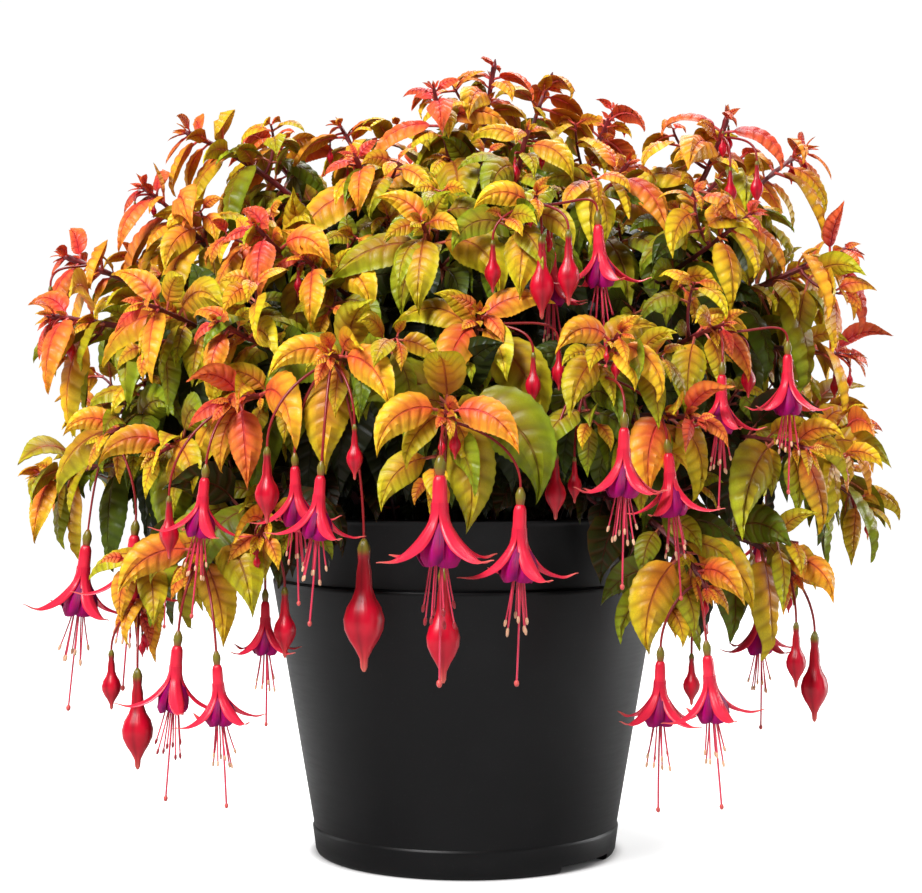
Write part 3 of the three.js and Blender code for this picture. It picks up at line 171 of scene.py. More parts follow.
def bud_of(x, y, z, length):
    return {"top": [x, y, z], "length": length}


def cluster_of(name, spray, shoot, back, flowers, buds):
    """Flowers and buds that hang from one place on a shoot, back millimetres before its tip.

    Without a name it has buds alone and is part of its spray.
    """
    cluster = {"on": ("spray_" + spray, shoot), "back": back, "flowers": flowers, "buds": buds}
    return {**cluster, "name": "bloom_" + name} if name else cluster


SPRAYS = [
    spray_of("front_centre", "golden", (-4, -48),
             shoot_of(-9, -200, 226, -8, 4, 60, 80),
             shoot_of(6, -146, 272, 28, 3, 58, 20, 0.5)),
    spray_of("front_left", "golden", (-30, -42),
             shoot_of(-59, -178, 252, 4, 4, 56, 75),
             shoot_of(-106, -152, 232, -12, 3, 56, 10, 0.5),
             shoot_of(-112, -146, 268, 20, 3, 40, 50, 0.56)),
    spray_of("front_right", "golden", (24, -46),
             shoot_of(68, -160, 262, 34, 4, 54, 70),
             shoot_of(104, -146, 224, -8, 3, 52, 15, 0.52)),
    spray_of("right_upper", "orange", (34, -14),
             shoot_of(130, -46, 374, 74, 4, 54, 0),
             shoot_of(174, -16, 362, 34, 4, 52, 30, 0.66),
             shoot_of(136, -88, 322, 34, 3, 46, 60, 0.58)),
    spray_of("right_mid", "orange", (52, -20),
             shoot_of(188, -50, 308, 22, 4, 54, 10),
             shoot_of(120, -116, 268, 14, 3, 42, 70, 0.42),
             shoot_of(196, -26, 256, -6, 3, 52, 20, 0.6)),
    spray_of("right_low", "olive", (56, -42),
             shoot_of(194, -62, 218, 2, 4, 50, 60),
             shoot_of(160, -114, 210, -14, 3, 54, 20, 0.55),
             shoot_of(204, -30, 178, -45, 3, 48, 40, 0.7)),
    spray_of("right_hanging", "olive", (44, -62),
             shoot_of(108, -140, 148, -58, 3, 52, 15),
             shoot_of(156, -92, 150, -50, 3, 54, 60, 0.62)),
    spray_of("left_hanging", "olive", (-50, -58),
             shoot_of(-124, -142, 158, -58, 3, 56, 25),
             shoot_of(-154, -110, 134, -62, 2, 46, 70, 0.62),
             shoot_of(-92, -154, 172, -48, 2, 48, 20, 0.66)),
    spray_of("left_low", "green", (-62, -34),
             shoot_of(-214, -40, 196, -6, 4, 50, 50),
             shoot_of(-172, -92, 216, -28, 3, 52, 20, 0.6),
             shoot_of(-142, -122, 208, -28, 3, 54, 65, 0.52)),
    spray_of("left_mid", "green", (-52, -8),
             shoot_of(-202, -66, 274, 6, 4, 62, 70),
             shoot_of(-150, -112, 278, 16, 3, 56, 10, 0.52)),
    spray_of("left_upper", "orange", (-40, 8),
             shoot_of(-202, -32, 306, 22, 4, 50, 20),
             shoot_of(-162, -36, 340, 34, 4, 50, 70, 0.6)),
    spray_of("left_top", "orange", (-24, 14),
             shoot_of(-144, -6, 372, 22, 4, 52, 40),
             shoot_of(-98, -112, 314, 38, 4, 46, 10, 0.5)),
    spray_of("top_left", "golden", (-14, -14),
             shoot_of(-54, -62, 352, 52, 4, 52, 60),
             shoot_of(-76, -106, 300, 30, 3, 52, 20, 0.5),
             shoot_of(-66, 8, 378, 58, 4, 44, 80, 0.6)),
    spray_of("top_centre", "orange", (4, 6),
             shoot_of(15, 0, 408, 80, 4, 46, 10),
             shoot_of(-16, -34, 390, 60, 4, 48, 50, 0.66),
             shoot_of(46, 36, 408, 62, 4, 46, 70, 0.6)),
    spray_of("top_front", "green", (10, -26),
             shoot_of(30, -70, 364, 58, 4, 46, 30),
             shoot_of(32, -136, 326, 38, 4, 48, 75, 0.52),
             shoot_of(-20, -124, 314, 24, 3, 60, 15, 0.46)),
    spray_of("top_right", "golden", (24, 10),
             shoot_of(80, -54, 350, 46, 4, 54, 5),
             shoot_of(82, 62, 394, 56, 4, 42, 40, 0.5)),
    spray_of("back_left_upper", "orange", (-30, 34),
             shoot_of(-116, 96, 336, 38, 4, 48, 30),
             shoot_of(-176, 48, 302, 20, 3, 48, 60, 0.56),
             shoot_of(-56, 98, 376, 54, 4, 44, 10, 0.6),
             shoot_of(-112, 46, 374, 40, 3, 50, 40, 0.48),
             shoot_of(-136, 118, 286, 16, 3, 50, 20, 0.42)),
    spray_of("back_right_upper", "golden", (34, 34),
             shoot_of(118, 98, 340, 38, 4, 48, 50),
             shoot_of(194, 40, 306, 18, 3, 50, 10, 0.56),
             shoot_of(46, 128, 366, 50, 4, 44, 70, 0.6),
             shoot_of(150, 44, 366, 40, 3, 50, 20, 0.48),
             shoot_of(142, 116, 284, 16, 3, 50, 60, 0.42)),
    spray_of("back_centre", "golden", (0, 44),
             shoot_of(-4, 166, 322, 28, 4, 50, 20),
             shoot_of(-68, 164, 272, 10, 3, 52, 65, 0.52),
             shoot_of(66, 166, 276, 10, 3, 52, 35, 0.52),
             shoot_of(-8, 112, 368, 56, 3, 46, 50, 0.6)),
    spray_of("back_left_low", "olive", (-48, 38),
             shoot_of(-164, 122, 218, -18, 4, 52, 45),
             shoot_of(-206, 38, 226, -8, 3, 50, 15, 0.58),
             shoot_of(-108, 176, 200, -28, 3, 50, 70, 0.6)),
    spray_of("back_right_low", "olive", (52, 38),
             shoot_of(166, 116, 218, -18, 4, 52, 25),
             shoot_of(206, 34, 224, -8, 3, 50, 75, 0.58),
             shoot_of(108, 174, 204, -28, 3, 50, 50, 0.6)),
    spray_of("back_low", "green", (4, 66),
             shoot_of(-26, 204, 192, -34, 3, 52, 15),
             shoot_of(52, 196, 184, -48, 3, 50, 60, 0.62),
             shoot_of(14, 188, 246, 4, 3, 50, 35, 0.52)),
]

CLUSTERS = [
    cluster_of("front_centre", "front_centre", 0, 4,
               [flower_of(-11, -214, 209, 1.2, 40, -0.01), flower_of(23, -198, 195, 1.05, 50, -0.03)],
               [bud_of(-10, -184, 160, 50)]),
    cluster_of("front_left", "front_left", 0, 4,
               [flower_of(-62, -190, 206, 0.88, 30, -0.08), flower_of(-76, -160, 209, 0.84, 10, 0.02)],
               [bud_of(-86, -184, 212, 33), bud_of(-48, -188, 222, 24), bud_of(-45, -168, 171, 58)]),
    cluster_of("front_right", "front_right", 0, 32,
               [flower_of(69, -174, 227, 0.96, 35, -0.02), flower_of(90, -150, 215, 0.9, 60, 0.08)],
               [bud_of(40, -150, 209, 30), bud_of(49, -142, 207, 21)]),
    cluster_of("top_front", "top_front", 1, 4,
               [flower_of(60, -130, 319, 0.9, 20, 0.05), flower_of(40, -112, 308, 0.82, 40, 0)],
               [bud_of(34, -145, 307, 38), bud_of(46, -146, 309, 34), bud_of(12, -141, 305, 24)]),
    cluster_of("right_mid", "right_mid", 1, 4,
               [flower_of(149, -118, 260, 0.88, 45, 0), flower_of(117, -132, 250, 0.84, 20, -0.03)],
               [bud_of(133, -102, 256, 22)]),
    cluster_of("right_hanging", "right_hanging", 0, 3,
               [flower_of(88, -142, 121, 0.93, 40, -0.02), flower_of(105, -172, 127, 0.92, 20, 0.09)],
               [bud_of(104, -124, 116, 24)]),
    cluster_of("right_end", "right_hanging", 1, 3,
               [flower_of(144, -66, 143, 0.88, 30, 0, fused=True)],
               [bud_of(156, -101, 128, 31), bud_of(167, -88, 122, 43)]),
    cluster_of("left_hanging", "left_hanging", 0, 3,
               [flower_of(-129, -150, 129, 0.95, 15, -0.08), flower_of(-110, -168, 122, 0.86, 40, 0.06)],
               []),
    cluster_of("left_low", "left_low", 1, 3,
               [flower_of(-184, -70, 170, 1.1, 40, -0.12), flower_of(-156, -100, 176, 1.0, 10, -0.08)],
               []),
    cluster_of("left_mid", "front_left", 1, 4,
               [flower_of(-115, -162, 204, 0.85, 25, -0.1)],
               [bud_of(-132, -158, 190, 28)]),
    cluster_of("left_inner", "left_hanging", 2, 3,
               [flower_of(-92, -130, 146, 0.78, 45, 0, fused=True)],
               [bud_of(-82, -142, 148, 32)]),
    cluster_of("back_left", "back_left_low", 0, 3,
               [flower_of(-172, 124, 178, 0.95, 20, -0.05, 0.04),
                flower_of(-142, 150, 170, 0.9, 50, 0, 0.06)],
               [bud_of(-166, 96, 176, 30)]),
    cluster_of("back_right", "back_right_low", 0, 3,
               [flower_of(172, 120, 176, 0.95, 70, 0.05, 0.04),
                flower_of(144, 148, 168, 0.9, 30, 0, 0.06)],
               [bud_of(170, 90, 176, 30)]),
    cluster_of("back", "back_low", 0, 3,
               [flower_of(-30, 212, 152, 0.95, 40, 0, 0.05)],
               [bud_of(-8, 204, 150, 34)]),
    cluster_of(None, "front_centre", 1, 8,
               [],
               [bud_of(30, -150, 254, 24), bud_of(42, -140, 258, 21)]),
    cluster_of(None, "left_hanging", 1, 3,
               [],
               [bud_of(-150, -134, 110, 46), bud_of(-166, -110, 116, 28)]),
    cluster_of(None, "left_upper", 0, 12,
               [],
               [bud_of(-206, -50, 290, 22)]),
    cluster_of(None, "right_upper", 0, 10,
               [],
               [bud_of(142, -66, 350, 22), bud_of(128, -74, 346, 20)]),
]


def unit(vector):
    return vector / np.linalg.norm(vector)


def colour(red, green, blue):
    """A colour as seen on a screen, from 0 to 255, as the linear one that the shaders take."""
    seen = np.array([red, green, blue]) / 255
    return np.where(seen <= 0.04045, seen / 12.92, ((seen + 0.055) / 1.055) ** 2.4)


def smooth(edge_from, edge_to, value):
    share = np.clip((value - edge_from) / (edge_to - edge_from), 0, 1)
    return share * share * (3 - 2 * share)


def draws(seed):
    """A seeded series of numbers from -1 to 1, the same as the solids' source draws."""
    mask = 0xFFFFFFFF
    state = seed & mask

    def draw():
        nonlocal state
        state = (state + 0x6D2B79F5) & mask
        t = ((state ^ (state >> 15)) * (1 | state)) & mask
        t = ((t + (((t ^ (t >> 7)) * (61 | t)) & mask)) & mask) ^ t
        return (t ^ (t >> 14)) / 2147483648 - 1

    return draw


def bezier(start, leave, settle, end, steps):
    """Points of a cubic curve from start to end."""
    t = np.linspace(0, 1, steps + 1)[:, None]
    return ((1 - t) ** 3 * start + 3 * (1 - t) ** 2 * t * leave
            + 3 * (1 - t) * t ** 2 * settle + t ** 3 * end)


class Stem:
    """A centre line, with directions across it and above it that are carried along without twist."""

    def __init__(self, points, across):
        self.points = np.array(points)
        steps = np.diff(self.points, axis=0)
        lengths = np.linalg.norm(steps, axis=1)
        self.starts = np.concatenate([[0], np.cumsum(lengths)[:-1]])
        self.length = float(lengths.sum())
        self.tangents = steps / lengths[:, None]
        self.acrosses = []
        for tangent in self.tangents:
            across = unit(across - tangent * tangent.dot(across))
            self.acrosses.append(across)

    def at(self, distance):
        span = max(0, int(np.searchsorted(self.starts, distance, side="right")) - 1)
        tangent = self.tangents[span]
        across = self.acrosses[span]
        point = self.points[span] + tangent * (distance - self.starts[span])
        return point, tangent, across, np.cross(tangent, across)


def curve_points(start, leave, tip, lift):
    """A stem's curve, which arrives at its tip with a given lift in degrees."""
    rise = math.radians(lift)
    outward = unit(np.array([tip[0], tip[1], 0.0]))
    arrival = outward * math.cos(rise) + UP * math.sin(rise)
    settle = tip - arrival * np.linalg.norm(tip - start) * TIP_REACH
    return bezier(start, leave, settle, tip, CURVE_STEPS)


def leader_stem(spray):
    """A leader stands straight up out of its hole, and then arches outwards."""
    x, y = spray["root"]
    tip = np.array(spray["shoots"][0]["tip"], float)
    root = np.array([x, y, SOIL_CROWN - ROOT_DEPTH], float)
    collar = root + UP * STANDS_STRAIGHT
    rise = collar + UP * np.linalg.norm(tip - collar) * LEADER_RISE
    level = unit(np.array([tip[0] - x, tip[1] - y, 0.0]))
    curve = curve_points(collar, rise, tip, spray["shoots"][0]["lift"])
    return Stem([root, *curve], np.cross(UP, level))


def fork_of(leader, first_shoot, share):
    """How far along its leader a side shoot forks off, clear of the leaves."""
    nodes = [leader.length - back for back in PAIR_BACK[:first_shoot["pairs"]]]
    at = leader.length * share
    while any(abs(node - at) < FORK_ROOM for node in nodes):
        at -= 1
    return at


def side_stem(leader, at, shoot):
    tip = np.array(shoot["tip"], float)
    point, tangent, _, _ = leader.at(at)
    span = tip - point
    aside = unit(span - tangent * tangent.dot(span))
    reach = np.linalg.norm(span) * FORK_REACH
    fork = math.radians(FORK_ANGLE)
    leave = point + tangent * reach * math.cos(fork) + aside * reach * math.sin(fork)
    return Stem(curve_points(point, leave, tip, shoot["lift"]), unit(np.cross(UP, aside)))


def pairs_on(stem, shoot):
    """The leaf pairs that a stem has room for, oldest first."""
    youngest = 1 if "from" in shoot else 0
    reach = stem.length * ROOM_ON_STEM
    return [pair for pair in range(youngest, shoot["pairs"]) if PAIR_BACK[pair] < reach][::-1]


def leaf_shape(s):
    return s ** BROAD_FOOT * (1 - s) ** SLENDER_TIP


WIDEST = leaf_shape(BROAD_FOOT / (BROAD_FOOT + SLENDER_TIP))
SLIMMER = 0.87  # a finished blade is narrower than its solid
DRAWN_TIP = 0.3
DRAWN_FROM = 0.62
CROWN = np.array([0.0, 0.0, 210.0])
CROWN_REACH = np.array([222.0, 236.0, 192.0])
# How many stages darker the leaves deep inside the plant are coloured: partly their age, partly painted shade
PAINTED_SHADE_STAGES = 5.0
SHADED_UNDER = 0.93


def crown_share(point):
    """How far out from the plant's heart a point lies: 1 is on its rounded outline."""
    return np.linalg.norm((point - CROWN) / CROWN_REACH)


class Leaf:
    """Where a leaf roots and how it arches, rolls and bends."""

    def __init__(self, stem, back, angle, slant, length, width, bend, roll):
        self.stem = stem
        self.back = back
        self.point, tangent, across, above = stem.at(stem.length - back)
        out = across * math.cos(angle) + above * math.sin(angle)
        self.start = tangent * math.cos(slant) + out * math.sin(slant)
        fall = DOWN - self.start * DOWN.dot(self.start)
        level = np.linalg.norm(fall)
        self.fall = fall / level
        outward = unit(np.array([self.point[0], self.point[1], 0.0]))
        aside = NORTH * min(max(self.point[1] / ASIDE_FROM, -1), 1)
        face = tangent * FACE[0] + UP * FACE[1] + outward * FACE[2] + aside * FACE_ASIDE
        beside = np.cross(self.fall, self.start)
        self.roll = math.atan2(face.dot(beside), -face.dot(self.fall)) + roll
        rise = max(0.0, self.start[2])
        self.length = length * (1 + (UPRIGHT_SIZE - 1) * rise)
        self.widest = self.length * width / 2
        self.bend = max(LEAST_BEND, bend * (level + UPRIGHT_BEND * rise))
        self.stalk = self.length * LEAF_STALK

    def frames(self, s):
        """Centres of the blade at shares s of its length, and the directions out of its face and across."""
        s = np.asarray(s, float)[..., None]
        arc = (self.length - self.stalk) / self.bend
        turn = self.bend * s
        centre = (self.point + self.start * (self.stalk + arc * np.sin(turn))
                  + self.fall * arc * (1 - np.cos(turn)))
        along = self.start * np.cos(turn) + self.fall * np.sin(turn)
        top = self.start * np.sin(turn) - self.fall * np.cos(turn)
        beside = np.cross(along, top)
        face = top * math.cos(self.roll) + beside * math.sin(self.roll)
        return centre, face, np.cross(face, along)

    def half_width(self, s):
        return self.widest * SLIMMER * leaf_shape(s) / WIDEST * (1 - DRAWN_TIP * smooth(DRAWN_FROM, 1, s))

    def tip(self):
        return self.frames(1.0)[0]

    def shade(self):
        """How many stages older and darker a leaf is coloured for how deep inside the plant it lies: partly
        the older inner leaves, partly painted shade.
        """
        return PAINTED_SHADE_STAGES * max(0.0, SHADED_UNDER - crown_share(self.frames(0.5)[0]))


def solid_leaf(stem, shoot, pair, side, chance, attempt):
    """The leaf of a solid, as one of its tries placed it."""
    turn, more_bend, scale = attempt
    angle = math.radians(shoot["spin"] + (pair + 2 * side) * 90 + turn + chance["angle"] * LEAF_JITTER)
    length = shoot["leaf"] * PAIR_SIZE[pair] * (1 + chance["size"] * SIZE_JITTER) * scale
    bend = PAIR_BEND[pair] + more_bend + chance["bend"] * BEND_JITTER
    return Leaf(stem, PAIR_BACK[pair], angle, math.radians(PAIR_ANGLE[pair]), length, PAIR_WIDTH[pair], bend,
                chance["roll"] * ROLL_JITTER)


def tree_of(node):
    """The corners of a solid, in millimetres, to look places up in."""
    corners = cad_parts[node].data.vertices
    tree = KDTree(len(corners))
    for i, corner in enumerate(corners):
        tree.insert(corner.co / MM, i)
    tree.balance()
    return tree


def is_corner(tree, point):
    return tree.find(Vector(point))[2] < SAME_POINT


def solid_leaves(tree, stem, shoot, seed):
    """The leaves that a solid's stem bears, found again by their tips."""
    draw = draws(seed)
    leaves = []
    for pair in pairs_on(stem, shoot):
        for side in (0, 1):
            chance = {name: draw() for name in ("angle", "roll", "size", "bend")}
            tries = [solid_leaf(stem, shoot, pair, side, chance, attempt) for attempt in LEAF_TRIES]
            found = [leaf for leaf in tries if is_corner(tree, leaf.tip())]
            if found:
                found[0].pair = pair
                leaves.append(found[0])
    return leaves


def hanging_matrix(top, lean, spin):
    """Where a flower's own axis, which points down, comes to hang."""
    axis = Vector((lean[0], lean[1], -1)).normalized()
    turn = Vector((0, 0, -1)).rotation_difference(axis) @ Quaternion((0, 0, 1), math.radians(spin))
    return np.array(Matrix.Translation(top) @ turn.to_matrix().to_4x4())


def moved(matrix, points):
    return points @ matrix[:3, :3].T + matrix[:3, 3]


def circle(turn):
    return np.array([math.cos(turn), math.sin(turn), 0.0])


class Sepal:
    """The centre line of one sepal: it leaves the tube slanting down, then its tip lifts."""

    def __init__(self, scale, turn, share):
        radial = circle(turn)
        self.start = radial * math.cos(SEPAL_BELOW) + DOWN * math.sin(SEPAL_BELOW)
        self.rise = radial * math.sin(SEPAL_BELOW) + UP * math.cos(SEPAL_BELOW)
        self.root = radial * SEPAL_INSET * scale + DOWN * SEPAL_FROM * scale
        self.arc = SEPAL_LENGTH * scale * share / SEPAL_LIFT

    def frames(self, s):
        bend = SEPAL_LIFT * np.asarray(s, float)[..., None]
        centre = (self.root + self.start * self.arc * np.sin(bend)
                  + self.rise * self.arc * (1 - np.cos(bend)))
        face = self.rise * np.cos(bend) - self.start * np.sin(bend)
        along = self.start * np.cos(bend) + self.rise * np.sin(bend)
        return centre, face, np.cross(face, along)


def flower_place(tree, flower):
    """The matrix and sepal share with which a solid's flower was placed, found again by its sepals' tips."""
    for spin, share in FLOWER_TRIES:
        matrix = hanging_matrix(flower["top"], flower["lean"], flower["spin"] + spin)
        tips = [Sepal(flower["scale"], turn, share).frames(1.0)[0] for turn in SEPAL_TURNS]
        if sum(is_corner(tree, moved(matrix, tip)) for tip in tips) >= 2:
            return matrix, share
    print("flower not found again:", flower)
    return hanging_matrix(flower["top"], flower["lean"], flower["spin"]), 1


def turned_about(vector, axis, angle):
    return np.array(Quaternion(Vector(axis), angle) @ Vector(vector))


def knuckle_of(tree, cluster, stem):
    """Where a cluster's stalks meet, just off the stem, found again by the corners of its knuckle."""
    point, tangent, _, _ = stem.at(stem.length - cluster["back"])
    if "name" not in cluster:
        return point
    tops = [item["top"] for item in cluster["flowers"] + cluster["buds"]]
    toward = np.mean(np.array(tops, float), axis=0) - point
    toward = unit(toward - tangent * toward.dot(tangent))
    corners = [sign * KNUCKLE * axis for axis in np.eye(3) for sign in (1, -1)]
    places = [turned_about(toward * reach, tangent, math.radians(turn)) + point
              for turn in KNUCKLE_TURNS for reach in KNUCKLE_REACHES]
    return max(places, key=lambda place: sum(is_corner(tree, place + corner) for corner in corners))


def stalk_points(knuckle, top, lean, steps):
    """A flower's stalk, from its knuckle over and down to the top of the ovary."""
    top = np.array(top, float)
    span = np.linalg.norm(top - knuckle)
    side = (top - knuckle) * (1, 1, 0)
    axis = unit(np.array([lean[0], lean[1], -1.0]))
    leave = knuckle + side * STALK_REACH + DOWN * span * STALK_SAG
    settle = top - axis * span * STALK_HANG
    return bezier(knuckle, leave, settle, top, steps)


class Shape:
    """The points, faces and colours of one piece, gathered part by part, in millimetres."""

    def __init__(self, name):
        self.name = name
        self.count = 0
        self.points = []
        self.tints = []
        self.ribs = []
        self.veins = []
        self.faces = []
        self.finishes = []

    def add(self, points, faces, finish, tint, rib=None, vein=None):
        """Adds a part. Faces are arrays of three or four corners each; colours are one or one a point."""
        points = points.reshape(-1, 3)
        number = len(points)
        self.points.append(points)
        self.tints.append(np.broadcast_to(np.asarray(tint).reshape(-1, 3), (number, 3)))
        rib = tint if rib is None else rib
        self.ribs.append(np.broadcast_to(np.asarray(rib).reshape(-1, 3), (number, 3)))
        vein = np.zeros(3) if vein is None else vein
        self.veins.append(np.broadcast_to(np.asarray(vein).reshape(-1, 3), (number, 3)))
        for group in faces:
            self.faces.append(np.asarray(group) + self.count)
            self.finishes.append(np.full(len(group), finish))
        self.count += number

    def made(self, materials):
        """The piece as an object, in metres, with the materials that its finishes number."""
        mesh = bpy.data.meshes.new(self.name)
        points = np.concatenate(self.points) * MM
        loops = np.concatenate([group.ravel() for group in self.faces])
        totals = np.concatenate([np.full(len(group), group.shape[1]) for group in self.faces])
        mesh.vertices.add(len(points))
        mesh.vertices.foreach_set("co", points.ravel())
        mesh.loops.add(len(loops))
        mesh.loops.foreach_set("vertex_index", loops)
        mesh.polygons.add(len(totals))
        mesh.polygons.foreach_set("loop_start", np.concatenate([[0], np.cumsum(totals)[:-1]]))
        mesh.polygons.foreach_set("material_index", np.concatenate(self.finishes))
        mesh.update(calc_edges=True)
        for name, kind, values in (
            ("tint", "FLOAT_COLOR", np.concatenate(self.tints)),
            ("rib", "FLOAT_COLOR", np.concatenate(self.ribs)),
            ("vein", "FLOAT_VECTOR", np.concatenate(self.veins)),
        ):
            layer = mesh.attributes.new(name, kind, "POINT")
            if kind == "FLOAT_COLOR":
                values = np.column_stack([values, np.ones(len(values))])
                layer.data.foreach_set("color", values.ravel())
            else:
                layer.data.foreach_set("vector", values.ravel())
        mesh.shade_smooth()
        mesh.set_sharp_from_angle(angle=math.radians(62))
        piece = bpy.data.objects.new(self.name, mesh)
        bpy.context.scene.collection.objects.link(piece)
        for material in materials:
            mesh.materials.append(material)
        return piece


def grid_faces(rows, columns, closed=False, flipped=False):
    """The four-cornered faces of a grid of points, with the last column joined to the first if closed."""
    row = np.arange(rows - 1)[:, None] * columns
    column = np.arange(columns if closed else columns - 1)[None, :]
    beside = (column + 1) % columns
    faces = np.stack([row + column, row + beside, row + columns + beside, row + columns + column], axis=-1)
    faces = faces.reshape(-1, 4)
    return faces[:, ::-1] if flipped else faces


def tube_faces(count, sides):
    """The faces of a tube of rings, closed at its ends by fans about the two points that follow them."""
    around = np.arange(sides)
    beside = (around + 1) % sides
    start = np.stack([beside, around, np.full(sides, count * sides)], axis=-1)
    last = (count - 1) * sides
    end = np.stack([last + around, last + beside, np.full(sides, count * sides + 1)], axis=-1)
    return [grid_faces(count, sides, closed=True), start, end]


def carried_frames(points, across):
    """Directions along, across and above a line of points, carried along without twist."""
    tangents = np.gradient(points, axis=0)
    tangents /= np.linalg.norm(tangents, axis=1)[:, None]
    acrosses = []
    for tangent in tangents:
        across = unit(across - tangent * tangent.dot(across))
        acrosses.append(across)
    acrosses = np.array(acrosses)
    return tangents, acrosses, np.cross(tangents, acrosses)


def add_tube(shape, points, radii, sides, finish, tint, across=None, lobes=0, depth=0.0, streak=0.0,
             seam=0.0):
    """A closed tube along a line of points.

    Lobes are the ridges round its section, depth their height as a share of its radius, streak the strength
    of its material's lines and seam how dark it is between the ridges.
    """
    points = np.asarray(points, float)
    if across is None:
        lean = unit(points[-1] - points[0])
        across = np.cross(UP if abs(lean[2]) < 0.9 else NORTH, lean)
    tangents, acrosses, aboves = carried_frames(points, across)
    turns = np.arange(sides) * 2 * math.pi / sides
    swell = 1 + depth * np.cos(lobes * turns)
    radii = np.broadcast_to(np.asarray(radii, float), len(points))
    reach = radii[:, None] * swell[None, :]
    rings = (points[:, None]
             + acrosses[:, None] * (reach * np.cos(turns))[..., None]
             + aboves[:, None] * (reach * np.sin(turns))[..., None])
    count = len(points)
    corners = np.concatenate([rings.reshape(-1, 3), points[:1], points[-1:]])

    def spread(values):
        values = np.asarray(values, float)
        if values.ndim == 1:
            return values
        dark = np.tile(1 - seam * ((1 - np.cos(lobes * turns)) / 2) ** 4, count)[:, None]
        return np.concatenate([np.repeat(values, sides, axis=0) * dark, values[:1], values[-1:]])

    along = np.repeat(np.linspace(0, 1, count), sides)
    vein = np.stack([np.tile(np.cos(turns), count), along, np.full(count * sides, streak)], -1)
    vein = np.concatenate([vein, [[0, 0, streak], [0, 1, streak]]])
    shape.add(corners, tube_faces(count, sides), finish, spread(tint), vein=vein)


def add_sheet(shape, top, bottom, finish, tint, rib, vein):
    """A closed sheet between two grids of as many points, the top one seen with its rows running away."""
    rows, columns = top.shape[:2]
    number = rows * columns
    index = np.arange(number).reshape(rows, columns)
    rim = np.concatenate([index[:-1, 0], index[-1, :-1], index[1:, -1][::-1], index[0, 1:][::-1]])
    after = np.roll(rim, -1)
    wall = np.stack([rim, after, after + number, rim + number], axis=-1)
    faces = [grid_faces(rows, columns, flipped=True), grid_faces(rows, columns) + number, wall[:, ::-1]]
    points = np.concatenate([top.reshape(-1, 3), bottom.reshape(-1, 3)])
    both = [np.concatenate([part.reshape(-1, 3)] * 2) for part in (tint, rib, vein)]
    shape.add(points, faces, finish, *both)


# Which of a piece's materials a part of it has
LEAF, STEM, PETAL = range(3)

# Leaf colours from the shoot's tip backwards: the blade at its base and tip, the veins at its base and tip.
# The darkest of them also serve as painted shade for leaves deep inside the plant
STAGES = np.array([
    [colour(220, 44, 54), colour(240, 108, 58), colour(186, 14, 42), colour(214, 70, 50)],
    [colour(228, 70, 52), colour(246, 176, 42), colour(194, 26, 46), colour(218, 106, 38)],
    [colour(228, 94, 44), colour(246, 208, 38), colour(188, 44, 44), colour(206, 144, 28)],
    [colour(216, 128, 36), colour(220, 204, 36), colour(174, 64, 42), colour(154, 142, 22)],
    [colour(172, 130, 26), colour(158, 176, 30), colour(140, 64, 36), colour(102, 116, 18)],
    [colour(114, 110, 16), colour(112, 134, 22), colour(96, 58, 24), colour(64, 86, 14)],
    [colour(56, 58, 13), colour(60, 78, 18), colour(52, 40, 17), colour(36, 52, 12)],
    [colour(26, 28, 8), colour(32, 40, 11), colour(24, 20, 9), colour(18, 27, 7)],
])
PAIR_STAGE = (0.0, 0.6, 1.8, 3.2, 4.4)
GROUP_STAGE = {"golden": -0.2, "orange": -0.4, "green": 0.9, "olive": 1.1}  # how much older a group looks
GROUP_RED = {"golden": 0.0, "orange": 0.15, "green": 0.0, "olive": 0.5}  # how red its veins are
RED_VEIN = colour(120, 30, 26)
STALK_PINK = colour(206, 96, 88)
STEM_DARK = colour(56, 18, 22)
STEM_YOUNG = colour(112, 28, 34)

VEIN_INTERVALS = 7
SWEEP = 0.34  # how far the side veins run forward, as a share of the blade

# How finely a leaf is made: rows along it, and its columns' places from edge to edge
FINE = (VEIN_INTERVALS * 4, (-1, -0.74, -0.38, 0, 0.38, 0.74, 1))
PLAIN = (VEIN_INTERVALS * 2, (-1, -0.52, 0, 0.52, 1))
SMALL = (7, (-1, -0.5, 0, 0.5, 1))
HIDDEN = (6, (-1, 0, 1))
TOOTH = {FINE: (0.034, 0.017), PLAIN: (0.017, 0.0136), SMALL: (0.034, 0.017), HIDDEN: (0.034, 0.017)}
FINE_FROM = 24
PLAIN_FROM = 26
TINY_UNDER = 12
INNER_SHARE = 0.64

# How a blade departs from a flat one, most of it as shares of its length or half width
TWIST = 0.35
SWAY = 0.045
TIP_CURL = 0.05
WAVE = 0.05
WAVES = 1.6
ARCH = 0.15
FOLD = 0.26
FOLD_JITTER = 0.1
PUFF = 0.075
TOP_OVER_CENTRE = 0.3
BLADE = 0.35
BLADE_BY_LENGTH = 0.012
UNDERSIDE = (0.62, 0.4, 0.4)


def stage_colours(stage):
    stage = min(max(stage, 0), len(STAGES) - 1.001)
    below = int(stage)
    return STAGES[below] + (STAGES[below + 1] - STAGES[below]) * (stage - below)


def detail_of(leaf):
    """How many rows and columns of faces a further leaf gets: few where it is tiny or deep in the plant."""
    if leaf.length < TINY_UNDER or crown_share(leaf.frames(0.5)[0]) < INNER_SHARE:
        return HIDDEN
    return PLAIN if leaf.length > PLAIN_FROM else SMALL


